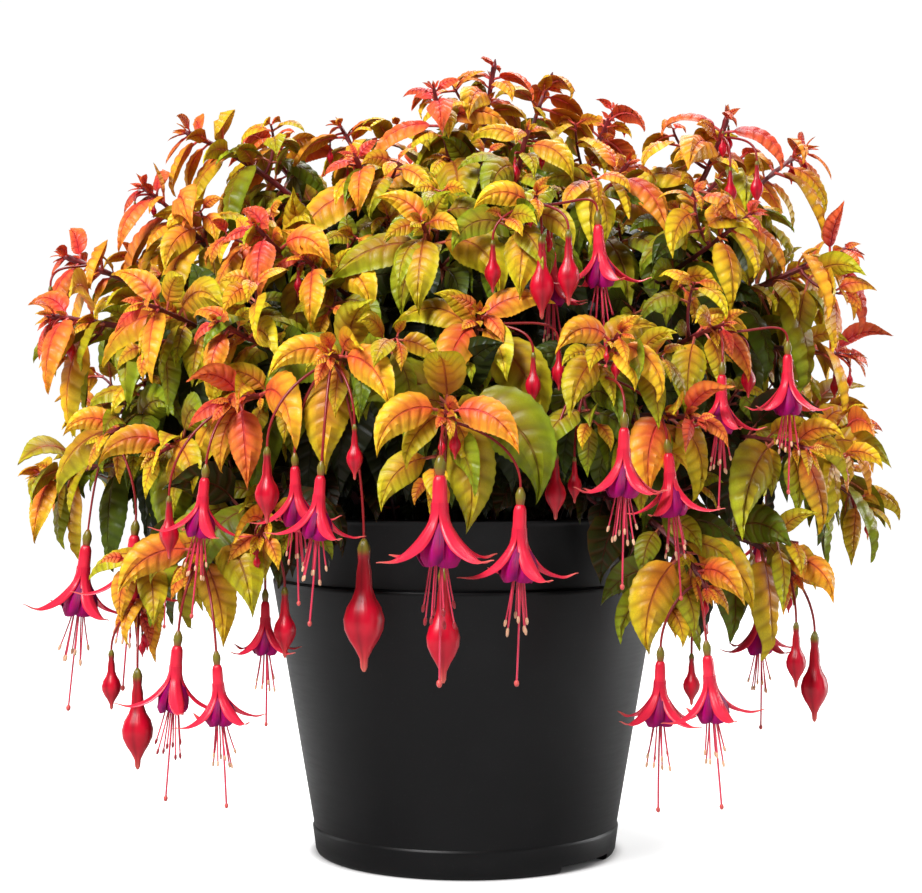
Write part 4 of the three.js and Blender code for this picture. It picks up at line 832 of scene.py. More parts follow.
def blade_top(leaf, detail, draw):
    """The points of a blade's puffed and toothed top, of the midrib under it and of its two ends.

    With them come the places along and across the blade, w and u, and the share s of its length there.
    """
    rows, columns = detail
    w = np.linspace(0, 1, rows + 1)[1:-1, None]
    u = np.array(columns, float)[None, :]
    spine = np.abs(u)
    s = w + SWEEP * spine ** 0.9 * w ** 0.6 * (1 - w)
    bulge = np.sin(math.pi * np.clip(s, 0, 1))
    centre, face, across = leaf.frames(s)
    out, into = TOOTH[detail]
    tooth = np.where(np.arange(1, rows)[:, None] % 2 == 0, 1 + out, 1 - into)
    x = u * leaf.half_width(s) * np.where(spine == 1, tooth, 1)
    twist = TWIST * draw() * s[..., None] ** 1.5
    sway = SWAY * draw() * leaf.length * s ** 2
    curl = TIP_CURL * (draw() + 0.6) * leaf.length * smooth(0.7, 1, s) ** 2
    wave = WAVE * draw() * leaf.widest * np.sin(2 * math.pi * (WAVES * s + draw()) + u) * spine ** 3
    fold = FOLD + FOLD_JITTER * draw()
    arch = leaf.widest * (ARCH * np.sin(math.pi * np.minimum(1, 1.2 * spine)) - fold * spine ** 1.6)
    crest = np.abs(np.sin(math.pi * w * VEIN_INTERVALS))
    puff = leaf.widest * PUFF * crest * 4 * spine * (1 - spine) * bulge ** 0.5
    high = arch * bulge ** 0.6 + puff + wave - curl
    turned_across = across * np.cos(twist) + face * np.sin(twist)
    turned_face = face * np.cos(twist) - across * np.sin(twist)
    top = centre + turned_across * (x + sway)[..., None] + turned_face * (high + TOP_OVER_CENTRE)[..., None]
    middle = len(columns) // 2
    lower = top[:, middle] - turned_face[:, middle] * (BLADE + BLADE_BY_LENGTH * leaf.length)
    tip, tip_face, tip_across = leaf.frames(1.0)
    tip = tip + tip_across * sway[-1, middle] - tip_face * curl[-1, middle] * 1.4
    return top, lower, [leaf.frames(0.0)[0], tip], (w, u, s)


def blade_faces(rows, columns):
    """The faces of a blade's top, of the two strips under it down to the midrib, and of its two ends."""
    index = np.arange(rows * columns).reshape(rows, columns)
    under = rows * columns + np.arange(rows)
    base_at = rows * columns + rows
    tip_at = base_at + 1
    first, last = index[0], index[-1]
    fan = [np.stack([first[1:], first[:-1], np.full(columns - 1, base_at)], -1),
           np.stack([last[:-1], last[1:], np.full(columns - 1, tip_at)], -1),
           np.array([[first[0], under[0], base_at], [under[0], first[-1], base_at],
                     [under[-1], last[0], tip_at], [last[-1], under[-1], tip_at]])]
    strips = [np.stack([index[:-1, 0], under[:-1], under[1:], index[1:, 0]], -1)[:, ::-1],
              np.stack([under[:-1], index[:-1, -1], index[1:, -1], under[1:]], -1)[:, ::-1]]
    return [grid_faces(rows, columns, flipped=True), *strips, *fan]


def blade_colours(shades, u, s, red, draw):
    """The colours of a blade and of its veins, point by point, with those of its underside and ends."""
    bright = 0.94 + 0.16 * draw()
    share = smooth(0.04, 0.82, 0.62 * s + 0.42 * np.abs(u) + 0.08 * draw())[..., None]
    tint = (shades[0] + (shades[1] - shades[0]) * share) * bright
    rib = shades[2] + (shades[3] - shades[2]) * share
    rib = rib + (RED_VEIN - rib) * red
    middle = u.shape[1] // 2
    pale = tint[:, middle] * UNDERSIDE + 0.012
    tints = np.concatenate([tint.reshape(-1, 3), pale, [tint[0, middle], tint[-1, middle]]])
    ribs = np.concatenate([rib.reshape(-1, 3), rib[:, middle], [rib[0, middle], rib[-1, middle]]])
    return tints, ribs


def add_leaf(shape, leaf, detail, stage, red, draw):
    """A leaf: a puffed, veined and toothed blade over a thin underside, on its stalk."""
    top, lower, ends, (w, u, s) = blade_top(leaf, detail, draw)
    # leaf.shade() pushes the blade and stalk colours darker for leaves deep in the plant: partly age, partly
    # painted shade
    shades = stage_colours(stage + leaf.shade() + 0.8 * draw())
    tints, ribs = blade_colours(shades, u, s, red, draw)
    vein = np.stack(np.broadcast_arrays(u, w, 1.0), -1).reshape(-1, 3)
    low_vein = np.stack([np.zeros(len(lower)), w[:, 0], np.full(len(lower), 0.4)], -1)
    vein = np.concatenate([vein, low_vein, [[0, 0, 1], [0, 1, 1]]])
    points = np.concatenate([top.reshape(-1, 3), lower, ends])
    shape.add(points, blade_faces(*top.shape[:2]), LEAF, tints, ribs, vein)
    add_leaf_stalk(shape, leaf, lower, shades, detail)


def add_leaf_stalk(shape, leaf, lower, shades, detail):
    """The stalk of a leaf, which runs on under its blade as the midrib."""
    blade = lower[1:int(len(lower) * 0.7):4]
    points = np.concatenate([[leaf.point, leaf.point + leaf.start * leaf.stalk * 0.5], blade])
    thick = 0.35 + 0.009 * leaf.length
    radii = np.concatenate([[thick * 1.3, thick], np.linspace(thick, thick * 0.3, len(blade))])
    blend = np.linspace(0, 1, len(points))[:, None]
    tint = STALK_PINK * 0.55 + shades[2] * 0.45 + (shades[0] - shades[2]) * blend * 0.5
    add_tube(shape, points, radii, 6 if detail is FINE else 4, STEM, tint)


MOST_PLACES = 40000


class Crowd:
    """Where leaves and flowers are already, so that further leaves keep clear of them."""

    def __init__(self):
        self.places = np.zeros((MOST_PLACES, 3))
        self.rooms = np.zeros(MOST_PLACES)
        self.count = 0

    def room(self, points):
        """How much room there is round points, up to the nearest thing that is there already."""
        places = self.places[:self.count]
        apart = np.linalg.norm(points[:, None] - places, axis=-1) - self.rooms[:self.count]
        return apart.min()

    def take(self, points, room):
        after = self.count + len(points)
        self.places[self.count:after] = points
        self.rooms[self.count:after] = room
        self.count = after


SAMPLES = np.array([0.35, 0.65, 1.0])
LEAF_ROOM = 2.0
FLOWER_ROOM = 9
SEPAL_ROOM = 4
BUD_ROOM = 4
POT_ROOM = 106
POT_TOP = 184
SOIL_REACH = 86
SOIL_TOP = 172
BOX_MARGIN = 4
LOW, HIGH = (np.array(corner) / MM for corner in cad_box)


def fits(leaf):
    """Whether a leaf lies inside the whole model's box and clear of the pot."""
    points = leaf.frames(SAMPLES)[0]
    if (points < LOW + BOX_MARGIN).any() or (points > HIGH - BOX_MARGIN).any():
        return False
    out = np.hypot(points[:, 0], points[:, 1])
    least = np.where(out < SOIL_REACH, SOIL_TOP, np.where(out < POT_ROOM, POT_TOP, 0))
    return (points[:, 2] > least).all()


def best_leaf(crowd, candidates, least):
    """The leaf with the most room round it, if that is enough."""
    rooms = [(crowd.room(leaf.frames(SAMPLES)[0]), i) for i, leaf in enumerate(candidates) if fits(leaf)]
    if not rooms:
        return None
    room, i = max(rooms)
    if room < least:
        return None
    crowd.take(candidates[i].frames(SAMPLES)[0], LEAF_ROOM)
    return candidates[i]


OLDER_STEP = 19
OLDER_STAGES = (4.7, 5.3, 5.7, 6.0)
LEAST_ROOM = 2.5
BETWEEN_STEP = 13
BETWEEN_REACH = 92
LEAST_BETWEEN = 3.4
TWIG_STEP = 23
TWIG_ROOM = 6.0
TWIG_LEAVES = ((1, 18), (4, 28), (11, 37), (20, 40))  # how far from the twig's tip, and how long
TWIG_BUD_ROOM = 8
BASAL_BACKS = (1, 9, 18, 28, 39)
BASAL_ROOM = 1.5


def turned_tries(stem, back, angle, turns, *rest):
    """One leaf, tried at several turns round its stem, in degrees."""
    return [Leaf(stem, back, math.radians(angle + turn), *rest) for turn in turns]


def older_leaves(crowd, stem, shoot, draw, bare):
    """Pairs of leaves further back on a stem than its solid's, down to its bare foot."""
    leaves = []
    back = PAIR_BACK[shoot["pairs"] - 1] + OLDER_STEP
    rank = 0
    while back < stem.length - bare:
        turn = rank % 2 * 90
        for side in (0, 1):
            size = shoot["leaf"] * (1.0 - 0.06 * rank + 0.1 * draw())
            bend = 1.5 + 0.3 * draw()
            roll = 0.6 * draw()
            angle = shoot["spin"] + 45 + turn + side * 180
            tries = turned_tries(stem, back, angle, (0, 25, -25, 50, -50), 1.3, size, 0.5, bend, roll)
            leaf = best_leaf(crowd, tries, LEAST_ROOM)
            if leaf:
                leaves.append((leaf, OLDER_STAGES[min(rank, 3)]))
        back += OLDER_STEP + 3 * draw()
        rank += 1
    return leaves


def between_leaves(crowd, stem, shoot, draw):
    """Single smaller leaves that stand between the large pairs."""
    leaves = []
    back = BETWEEN_STEP
    while back < min(stem.length * ROOM_ON_STEM, BETWEEN_REACH):
        for side in (0, 1):
            length = shoot["leaf"] * (0.6 + 0.14 * draw())
            angle = shoot["spin"] + 45 + side * 180 + 60 * draw()
            slant = 1.0 + 0.2 * draw()
            bend = 1.4 + 0.3 * draw()
            roll = 0.6 * draw()
            tries = turned_tries(stem, back, angle, (0, 30, -30, 60), slant, length, 0.43, bend, roll)
            leaf = best_leaf(crowd, tries, LEAST_BETWEEN)
            if leaf:
                leaves.append((leaf, 1.3 + 0.036 * back))
        back += BETWEEN_STEP
    return leaves


def freest_twig(crowd, stem, back, draw):
    """Of eight twigs round a stem, the tip with the most room and the way there, if one has enough."""
    point, tangent, across, above = stem.at(stem.length - back)
    best = None
    for i in range(8):
        angle = math.pi * i / 4 + 0.3 * draw()
        aside = across * math.cos(angle) + above * math.sin(angle)
        tip = point + aside * (24 + 5 * draw()) + tangent * 14 + UP * 3 * draw()
        room = crowd.room(np.array([tip, (tip + point) / 2 + aside * 3]))
        if room > TWIG_ROOM and crown_share(tip) < 0.98 and (best is None or room > best[0]):
            best = room, aside, tip
    if best is None:
        return None
    _, aside, tip = best
    curve = bezier(point, point + aside * 9, tip - tangent * 6 - aside * 4, tip, 8)
    return Stem(curve, np.cross(tangent, aside))


def twig_leaves(shape, crowd, stem, bare, draw):
    """Short twigs in the leaves' axils, each with a few pairs of small leaves, where there is room."""
    leaves = []
    back = 24 + 6 * draw()
    while back < stem.length - bare:
        twig = freest_twig(crowd, stem, back, draw)
        if twig:
            add_tube(shape, twig.points, np.linspace(1.0, 0.6, len(twig.points)), 6, STEM, STEM_YOUNG)
            for rank, (behind, length) in enumerate(TWIG_LEAVES):
                for side in (0, 1):
                    turn = math.radians(90 * rank + 180 * side + 35 * draw())
                    leaf = Leaf(twig, behind, turn, 0.9 + 0.12 * rank, length + 3 * draw(), 0.43,
                                1.4 + 0.3 * draw(), 0.7 * draw())
                    if fits(leaf) and crowd.room(leaf.frames(SAMPLES[:2])[0]) > 0:
                        leaves.append((leaf, 0.3 + rank * 0.9 + 0.02 * back))
            crowd.take(twig.points[-1:], TWIG_BUD_ROOM)
            for leaf, _ in leaves[-2 * len(TWIG_LEAVES):]:
                crowd.take(leaf.frames(SAMPLES)[0], LEAF_ROOM + 1)
        back += TWIG_STEP + 4 * draw()
    return leaves


def basal_leaves(shape, crowd, root, draw):
    """Short shoots from the soil beside a leader's foot, with dark leaves that hide the leaders' feet."""
    leaves = []
    aim = math.atan2(root[1], root[0])
    for turn in (-0.2, 0.2):
        outward = circle(aim + turn + 0.12 * draw())
        foot = outward * (66 + 7 * draw()) + UP * (SOIL_EDGE - 2)
        tip = foot + outward * (20 + 6 * draw()) + UP * (52 + 12 * draw())
        stem = Stem(bezier(foot, foot + UP * 18, tip - outward * 8 - UP * 8, tip, 10), np.cross(UP, outward))
        add_tube(shape, stem.points, np.linspace(1.4, 0.8, len(stem.points)), 6, STEM, STEM_DARK)
        for rank, back in enumerate(BASAL_BACKS):
            for side in (0, 1):
                angle = 90 * rank + 180 * side + 45 + 30 * draw()
                length = 31 + 4 * rank * (rank < 4) + 5 * draw()
                bend = 1.2 + 0.4 * draw()
                roll = 0.4 * draw()
                tries = turned_tries(stem, back, angle, (0, 30, -30, 60, -60), 1.15, length, 0.5, bend, roll)
                leaf = best_leaf(crowd, tries, BASAL_ROOM)
                if leaf:
                    leaves.append((leaf, 5.2 + 0.2 * rank))
    return leaves


def tuft_leaves(stem, backs, shoot, draw):
    """Tiny leaves: the unfolding ones at a shoot's tip, and rosettes in the axils further back."""
    leaves = []
    first = shoot["spin"]
    for i in range(4):
        length = shoot["leaf"] * (0.2 + 0.05 * draw())
        leaves.append((Leaf(stem, 0.5, math.radians(first + 45 + 90 * i), 0.5 + 0.2 * draw(), length, 0.42,
                            0.6, 0.2 * draw()), 0.4))
    for rank, back in enumerate(backs):
        for i in range(3):
            length = shoot["leaf"] * (0.24 + 0.09 * draw())
            angle = first + rank * 90 + 40 * i + 140 * (draw() > 0)
            leaves.append((Leaf(stem, back + draw(), math.radians(angle), 0.7 + 0.3 * draw(), length, 0.42,
                                0.8, 0.3 * draw()), 0.6 + rank * 0.6))
    return leaves


STEM_SLIMMER = 0.78  # a finished stem is thinner than its solid
KNOT = 0.5
KNOT_REACH = 2.0
LEAST_STEP = 0.8


def add_stem(shape, stem, radii, nodes):
    """A woody stem, thickened where leaves grow, which ends in a growing tip."""
    along = np.concatenate([stem.starts, [stem.length]])
    distances = np.unique(np.concatenate([along, *([node - 3, node, node + 3] for node in nodes)]))
    distances = distances[(distances >= 0) & (distances <= stem.length)]
    points = np.array([stem.at(distance)[0] for distance in distances])
    keep = np.concatenate([[True], np.linalg.norm(np.diff(points, axis=0), axis=1) > LEAST_STEP])
    points = points[keep]
    distances = distances[keep]
    share = distances / stem.length
    radius = radii[0] + (radii[1] - radii[0]) * share
    for node in nodes:
        radius = radius + KNOT * np.exp(-((distances - node) / KNOT_REACH) ** 2)
    points = np.concatenate([points, [points[-1] + stem.tangents[-1] * radii[1] * 2]])
    radius = np.concatenate([radius * STEM_SLIMMER, [0.3]])
    young = smooth(0.25, 1, np.concatenate([share, [1]]))[:, None]
    tint = STEM_DARK + (STEM_YOUNG - STEM_DARK) * young
    add_tube(shape, points, radius, 8, STEM, tint, across=stem.acrosses[0], lobes=4, depth=0.07)


OVARY_GREEN = colour(122, 112, 34)
NECK_RED = colour(150, 28, 34)
TUBE_RED = colour(212, 10, 44)
TUBE_CORAL = colour(240, 48, 74)
SEPAL_RED = colour(220, 12, 50)
SEPAL_CORAL = colour(245, 46, 78)
SEPAL_PALE = colour(238, 132, 112)
STALK_RED = colour(122, 34, 32)
PURPLE = colour(170, 0, 108)
PURPLE_DARK = colour(96, 0, 70)
MAGENTA = colour(176, 12, 78)
THREAD_PINK = colour(222, 58, 88)
ANTHER = colour(238, 184, 146)
ANTHER_RED = colour(168, 42, 52)
BUD_RED = colour(208, 4, 42)
STIGMA = colour(222, 92, 88)

# A flower's parts about its axis, in millimetres at scale 1
OVARY_BLENDS = [0.5, 0.1, 0, 0.05, 0.4, 0.8]
TUBE_PROFILE = [(6.9, 1.6), (7.5, 2.1), (9, 2.6), (12, 2.75), (15, 2.8), (18, 3.05), (20, 3.1), (21.6, 2.8),
                (22, 2.2)]
TUBE_BLENDS = [0, 0.1, 0.3, 0.6, 0.8, 0.6, 0.4, 0, 0]
BELL_AT = [0, 0.1, 0.24, 0.37, 0.5, 0.68, 0.87, 1]
BELL_RADIUS = [1.8, 2.3, 3.7, 5.0, 6.1, 7.1, 7.3, 5.9]
PETAL_SPREAD = math.radians(68)
THREAD_FROM = 21
THREAD_PAST = 0.4  # how far a thread runs into its anther or stigma
STAMENS_SHORTER = (0, 4.5, 1.5, 6.5, 2.5, 5.5, 0.8, 7.5)

# A bud's parts as shares of its length
BUD_PROFILE = [(-0.01, 0.014), (0.02, 0.034), (0.07, 0.05), (0.12, 0.046), (0.16, 0.042), (0.24, 0.056),
               (0.36, 0.062), (0.44, 0.088), (0.51, 0.13), (0.6, 0.154), (0.68, 0.146), (0.76, 0.11),
               (0.83, 0.066), (0.9, 0.032), (0.97, 0.026), (1, 0.01)]
BUD_BLENDS = [0, 0, 0, 0.1, 0.3, 0.5, 0.7, 0.8, 1, 1, 1, 1, 1, 0.9, 0.9, 0.9]
BUD_TIP_BLENDS = [0.05, 0.15, 0.5, 0.8]


def add_stalk(shape, points, radius):
    count = len(points)
    radii = np.linspace(radius, radius * 0.75, count)
    blend = np.linspace(0, 1, count)[:, None]
    add_tube(shape, points, radii, 6, PETAL, STALK_RED + (NECK_RED - STALK_RED) * blend)


def on_axis(matrix, depths):
    """Points at some depths down a flower's axis."""
    return moved(matrix, np.stack([0 * depths, 0 * depths, -depths], -1))


def add_turned(shape, matrix, profile, sides, finish, tints, lobes=0, depth=0.0, streak=0.0, seam=0.0):
    """A body turned about a flower's axis, from a profile of depth and radius."""
    depths = np.array([row[0] for row in profile], float)
    radii = np.array([row[1] for row in profile], float)
    across = matrix[:3, :3] @ np.array([1.0, 0, 0])
    add_tube(shape, on_axis(matrix, depths), radii, sides, finish, np.array(tints), across=across,
             lobes=lobes, depth=depth, streak=streak, seam=seam)


def blends(first, second, shares):
    return [first + (second - first) * share for share in shares]


def sepal_tint(u, s):
    """A sepal's colour: deepest at its foot and edges, palest at its tip."""
    along = (0.5 + 0.5 * smooth(0.1, 0.7, s))[..., None]
    pale = (smooth(0.72, 1, s) * 0.75)[..., None]
    tint = SEPAL_RED + (SEPAL_CORAL - SEPAL_RED) * along + 0 * u[..., None]
    tint = tint + (SEPAL_PALE - tint) * pale
    return tint * (1 - 0.1 * np.abs(u))[..., None]


def add_sepal(shape, matrix, scale, turn, share, draw):
    """A sepal: leathery, grooved along its length, with a pointed tip that curls up."""
    s = np.linspace(0, 1, 23)[:, None]
    u = np.array([-1, -0.72, -0.4, -0.15, 0, 0.15, 0.4, 0.72, 1])[None, :]
    centre, face, across = Sepal(scale, turn, share).frames(s + 0 * u)
    width = np.interp(s, [0, 0.14, 0.3, 0.46, 0.66, 0.86, 1], [0.46, 0.56, 0.76, 0.86, 0.68, 0.3, 0.03])
    half = SEPAL_WIDTH * scale / 2 * width
    sag = (1.1 + 0.7 * draw()) * scale * np.sin(math.pi * s) ** 2
    curl = 2.4 * scale * (1 + 0.5 * draw()) * smooth(0.72, 1, s) ** 1.5 - sag
    sway = 1.6 * scale * draw() * s ** 2
    hollow = half * (0.36 * np.abs(u) ** 2 - 0.05 * np.cos(3 * math.pi * u))
    high = curl - hollow * 0.8
    place = centre + across * (u * half + sway)[..., None]
    thin = (0.5 * scale * (1 - 0.7 * s) * (1 - 0.6 * np.abs(u)))
    top = place + face * (high + thin)[..., None]
    bottom = place + face * (high - thin)[..., None]
    around = turn + u * math.pi / 4 * 1.04
    outward = np.stack([np.cos(around), np.sin(around), 0 * around], -1)
    girth = np.interp(s, [0, 0.1, 0.3], [2.85, 3.0, 3.5])[..., None] * scale
    drop = DOWN * ((16.4 + 20 * s) * scale)[..., None]
    clasp = (1 - smooth(0.03, 0.17, s))[..., None]
    top = top + (outward * (girth + 0.25) + drop - top) * clasp
    bottom = bottom + (outward * (girth - 0.35) + drop - bottom) * clasp
    tint = sepal_tint(u, s)
    rib = tint * (0.72, 0.4, 0.45)
    vein = np.stack(np.broadcast_arrays(u, s, 0.6), -1)
    add_sheet(shape, moved(matrix, top), moved(matrix, bottom), PETAL, tint, rib, vein)


def add_petals(shape, matrix, scale, draw):
    """Four overlapping petals, rolled into a bell that hides the threads' feet."""
    w = np.linspace(0, 1, 15)[:, None]
    u = np.linspace(-1, 1, 13)[None, :]
    for quarter in range(4):
        middle = quarter * math.pi / 2 + 0.1 * draw()
        turn = middle + u * PETAL_SPREAD * (1 - 0.15 * w)
        depth = 20.6 + (18.0 - 2.0 * np.abs(u) ** 2.6 + 0.6 * draw()) * w
        frill = 0.3 * w ** 4 * np.sin(4 * u + 4 * draw())
        radius = np.interp(w, BELL_AT, BELL_RADIUS) + 0.75 * u * np.minimum(1, 3 * w) + frill
        outward = np.stack([np.cos(turn), np.sin(turn), 0 * turn], -1)
        outer = outward * (radius * scale)[..., None] + DOWN * (depth * scale)[..., None]
        inner = outward * ((radius - 0.32) * scale)[..., None] + DOWN * ((depth - 0.05) * scale)[..., None]
        near = (1 - smooth(0.02, 0.38, w))[..., None] + 0 * u[..., None]
        tint = PURPLE + (PURPLE_DARK - PURPLE) * smooth(0.3, 1, np.abs(u))[..., None]
        tint = tint + (MAGENTA - tint) * near
        vein = np.stack(np.broadcast_arrays(u, w, 1.0), -1)
        add_sheet(shape, moved(matrix, outer), moved(matrix, inner), 0, tint, tint * 0 + MAGENTA * 0.8, vein)


def add_thread(shape, matrix, scale, turn, end, spread, style, anther, draw):
    """A stamen or the style: a thread from the tube's mouth, with its anther or stigma."""
    radial = circle(turn)
    steps = np.linspace(0, 1, 7)[:, None]
    spread = spread * (1 + 0.25 * draw())
    bow = np.sin(math.pi * steps) * 0.6 * draw()
    drop = DOWN * (THREAD_FROM + (end + THREAD_PAST - THREAD_FROM) * steps)
    points = (radial * (1.0 + (spread - 1.0) * steps ** 1.4 + bow) + drop) * scale
    radius = 0.44 if style else 0.34
    add_tube(shape, moved(matrix, points), np.full(7, radius), 6, PETAL, THREAD_PINK)
    lean = unit(points[-1] - points[-2])
    reach = np.array([-0.1, 0.15, 0.5, 0.85, 1.0])[:, None] * (2.6 if style else 2.9) * scale
    head = points[-1] + lean * (reach - 0.3)
    radii = np.array([0.3, 0.95, 1.1, 0.8, 0.25]) * (1.0 if style else 0.64) * scale
    add_tube(shape, moved(matrix, head), radii, 7, PETAL, STIGMA if style else anther * (1 + 0.2 * draw()))


def add_flower(shape, petals, knuckle, flower, matrix, share, draw):
    scale = flower["scale"]
    add_stalk(shape, stalk_points(knuckle, flower["top"], flower["lean"], 16), STALK_RADIUS)
    ovary = [(-0.2, 0.75), (0.9 * scale, 1.35 * scale), (2.6 * scale, 2.05 * scale),
             (4.2 * scale, 2.1 * scale), (6 * scale, 1.75 * scale), (7.2 * scale, 1.6 * scale)]
    add_turned(shape, matrix, ovary, 12, PETAL, blends(OVARY_GREEN, NECK_RED, OVARY_BLENDS), lobes=4,
               depth=0.04)
    tube = [(down * scale, radius * scale) for down, radius in TUBE_PROFILE]
    add_turned(shape, matrix, tube, 16, PETAL, blends(TUBE_RED, TUBE_CORAL, TUBE_BLENDS), lobes=4, depth=0.05,
               streak=0.6)
    for turn in SEPAL_TURNS:
        add_sepal(shape, matrix, scale, turn, share, draw)
    add_petals(petals, matrix, scale, draw)
    anther = ANTHER if draw() > -0.3 else ANTHER_RED
    for i, shorter in enumerate(STAMENS_SHORTER):
        turn = (i + 0.5) * math.pi / 4
        add_thread(shape, matrix, scale, turn, STAMEN_END - shorter, STAMEN_SPREAD, False, anther, draw)
    add_thread(shape, matrix, scale, -math.pi / 2, STYLE_END, STYLE_SPREAD, True, anther, draw)


def add_bud(shape, knuckle, bud, draw):
    """A bud: a spindle with four seams on a long neck, pale at its pointed tip."""
    length = bud["length"]
    matrix = hanging_matrix(bud["top"], (0, 0), 45 * draw())
    add_stalk(shape, stalk_points(knuckle, bud["top"], (0, 0), 14), STALK_RADIUS)
    profile = [(down * length, max(radius * length, 0.05)) for down, radius in BUD_PROFILE]
    tints = [(OVARY_GREEN if i < 3 else NECK_RED) * (1 - share) + BUD_RED * share
             for i, share in enumerate(BUD_BLENDS)]
    tints[-4:] = blends(BUD_RED, SEPAL_PALE, BUD_TIP_BLENDS)
    add_turned(shape, matrix, profile, 24, PETAL, tints, lobes=4, depth=0.06, streak=0.5, seam=0.4)


def add_tiny_buds(shape, stem, draw):
    """Two unripe buds that hang from the axils just behind a shoot's tip."""
    for back in (5, 12):
        point, tangent, across, _ = stem.at(stem.length - back)
        top = point + across * 8 * draw() + tangent * (5 + 4 * draw()) + DOWN * (5 + 3 * draw())
        add_bud(shape, point, {"top": top, "length": 13 + 4 * draw()}, draw)


POT_TURNS = 144
POT_PROFILE = [
    (0, 0), (FOOT_RADIUS - FOOT_BEVEL, 0), (FOOT_RADIUS - 0.7, 0.7), (FOOT_RADIUS, FOOT_BEVEL),
    (BAND_RADIUS - 0.1, FOOT_BAND_HEIGHT - 0.6), (BAND_RADIUS - 0.3, FOOT_BAND_HEIGHT),
    (BAND_RADIUS - BAND_STEP, FOOT_BAND_HEIGHT + BAND_STEP),
    (LEDGE_RADIUS - 0.1, LEDGE_HEIGHT - 2.2), (LEDGE_RADIUS, LEDGE_HEIGHT - LEDGE_ROUND),
    (LEDGE_RADIUS - 0.35, LEDGE_HEIGHT - 0.35), (LEDGE_RADIUS - LEDGE_ROUND, LEDGE_HEIGHT),
    (COLLAR_RADIUS + 0.6, LEDGE_HEIGHT), (COLLAR_RADIUS, LEDGE_HEIGHT + 0.6),
    (COLLAR_RADIUS, RIM_HEIGHT - 2 * RIM_BEAD - 0.4),
    (COLLAR_RADIUS + RIM_BEAD - 0.3, RIM_HEIGHT - RIM_BEAD - 0.4),
    (COLLAR_RADIUS + RIM_BEAD, RIM_HEIGHT - RIM_BEAD + 0.2), (COLLAR_RADIUS + RIM_BEAD, RIM_HEIGHT - 0.6),
    (COLLAR_RADIUS + RIM_BEAD - 0.6, RIM_HEIGHT), (COLLAR_RADIUS - WALL + 0.5, RIM_HEIGHT),
    (COLLAR_RADIUS - WALL, RIM_HEIGHT - 0.5), (COLLAR_RADIUS - WALL, LEDGE_HEIGHT - WALL),
    (FOOT_RADIUS - WALL, FLOOR), (0, FLOOR),
]


def add_revolved(shape, profile, sides, finish, tint, ripple=None):
    """A body turned about the pot's axis, from a profile of radius and height that starts and ends on it."""
    turns = np.arange(sides) * 2 * math.pi / sides
    ring = np.array(profile[1:-1], float)
    radius = ring[:, 0][:, None] + 0 * turns
    height = ring[:, 1][:, None] + 0 * turns
    points = np.stack([radius * np.cos(turns), radius * np.sin(turns), height], -1)
    if ripple:
        points = ripple(points)
    corners = np.concatenate([points.reshape(-1, 3), [[0, 0, profile[0][1]], [0, 0, profile[-1][1]]]])
    shape.add(corners, tube_faces(len(ring), sides), finish, tint)


def box_cutter(angle):
    length = FOOT_RADIUS + NOTCH_HEIGHT - NOTCH_START
    bpy.ops.mesh.primitive_cube_add(size=1)
    cutter = bpy.context.object
    cutter.matrix_world = (Matrix.Rotation(angle, 4, "Z")
                           @ Matrix.Translation(Vector(((NOTCH_START + length / 2) * MM, 0, 0)))
                           @ Matrix.Diagonal((length * MM, NOTCH_WIDTH * MM, 2 * NOTCH_HEIGHT * MM, 1)))
    return cutter


def drain_cutter(angle):
    bpy.ops.mesh.primitive_cylinder_add(vertices=32, radius=DRAIN_RADIUS * MM, depth=4 * FLOOR * MM)
    cutter = bpy.context.object
    cutter.matrix_world = Matrix.Rotation(angle, 4, "Z") @ Matrix.Translation(Vector((DRAIN_AT * MM, 0, 0)))
    return cutter


def cut(piece, cutters):
    """Cuts the cutters out of a piece for good."""
    for cutter in cutters:
        change = piece.modifiers.new("cut", "BOOLEAN")
        change.operation = "DIFFERENCE"
        change.solver = "EXACT"
        change.object = cutter
    bpy.context.view_layer.update()
    whole = piece.evaluated_get(bpy.context.evaluated_depsgraph_get())
    piece.data = bpy.data.meshes.new_from_object(whole)
    piece.modifiers.clear()
    for cutter in cutters:
        bpy.data.objects.remove(cutter)


def make_pot():
    shape = Shape("pot_moulded")
    add_revolved(shape, POT_PROFILE, POT_TURNS, 0, np.zeros(3))
    pot = shape.made([plastic()])
    angles = [math.radians(angle) for angle in NOTCH_ANGLES]
    cut(pot, [box_cutter(angle) for angle in angles] + [drain_cutter(angle) for angle in angles])
    pot.data.set_sharp_from_angle(angle=math.radians(40))
    return pot


CHIP_SEED = 77
CHIPS = 230


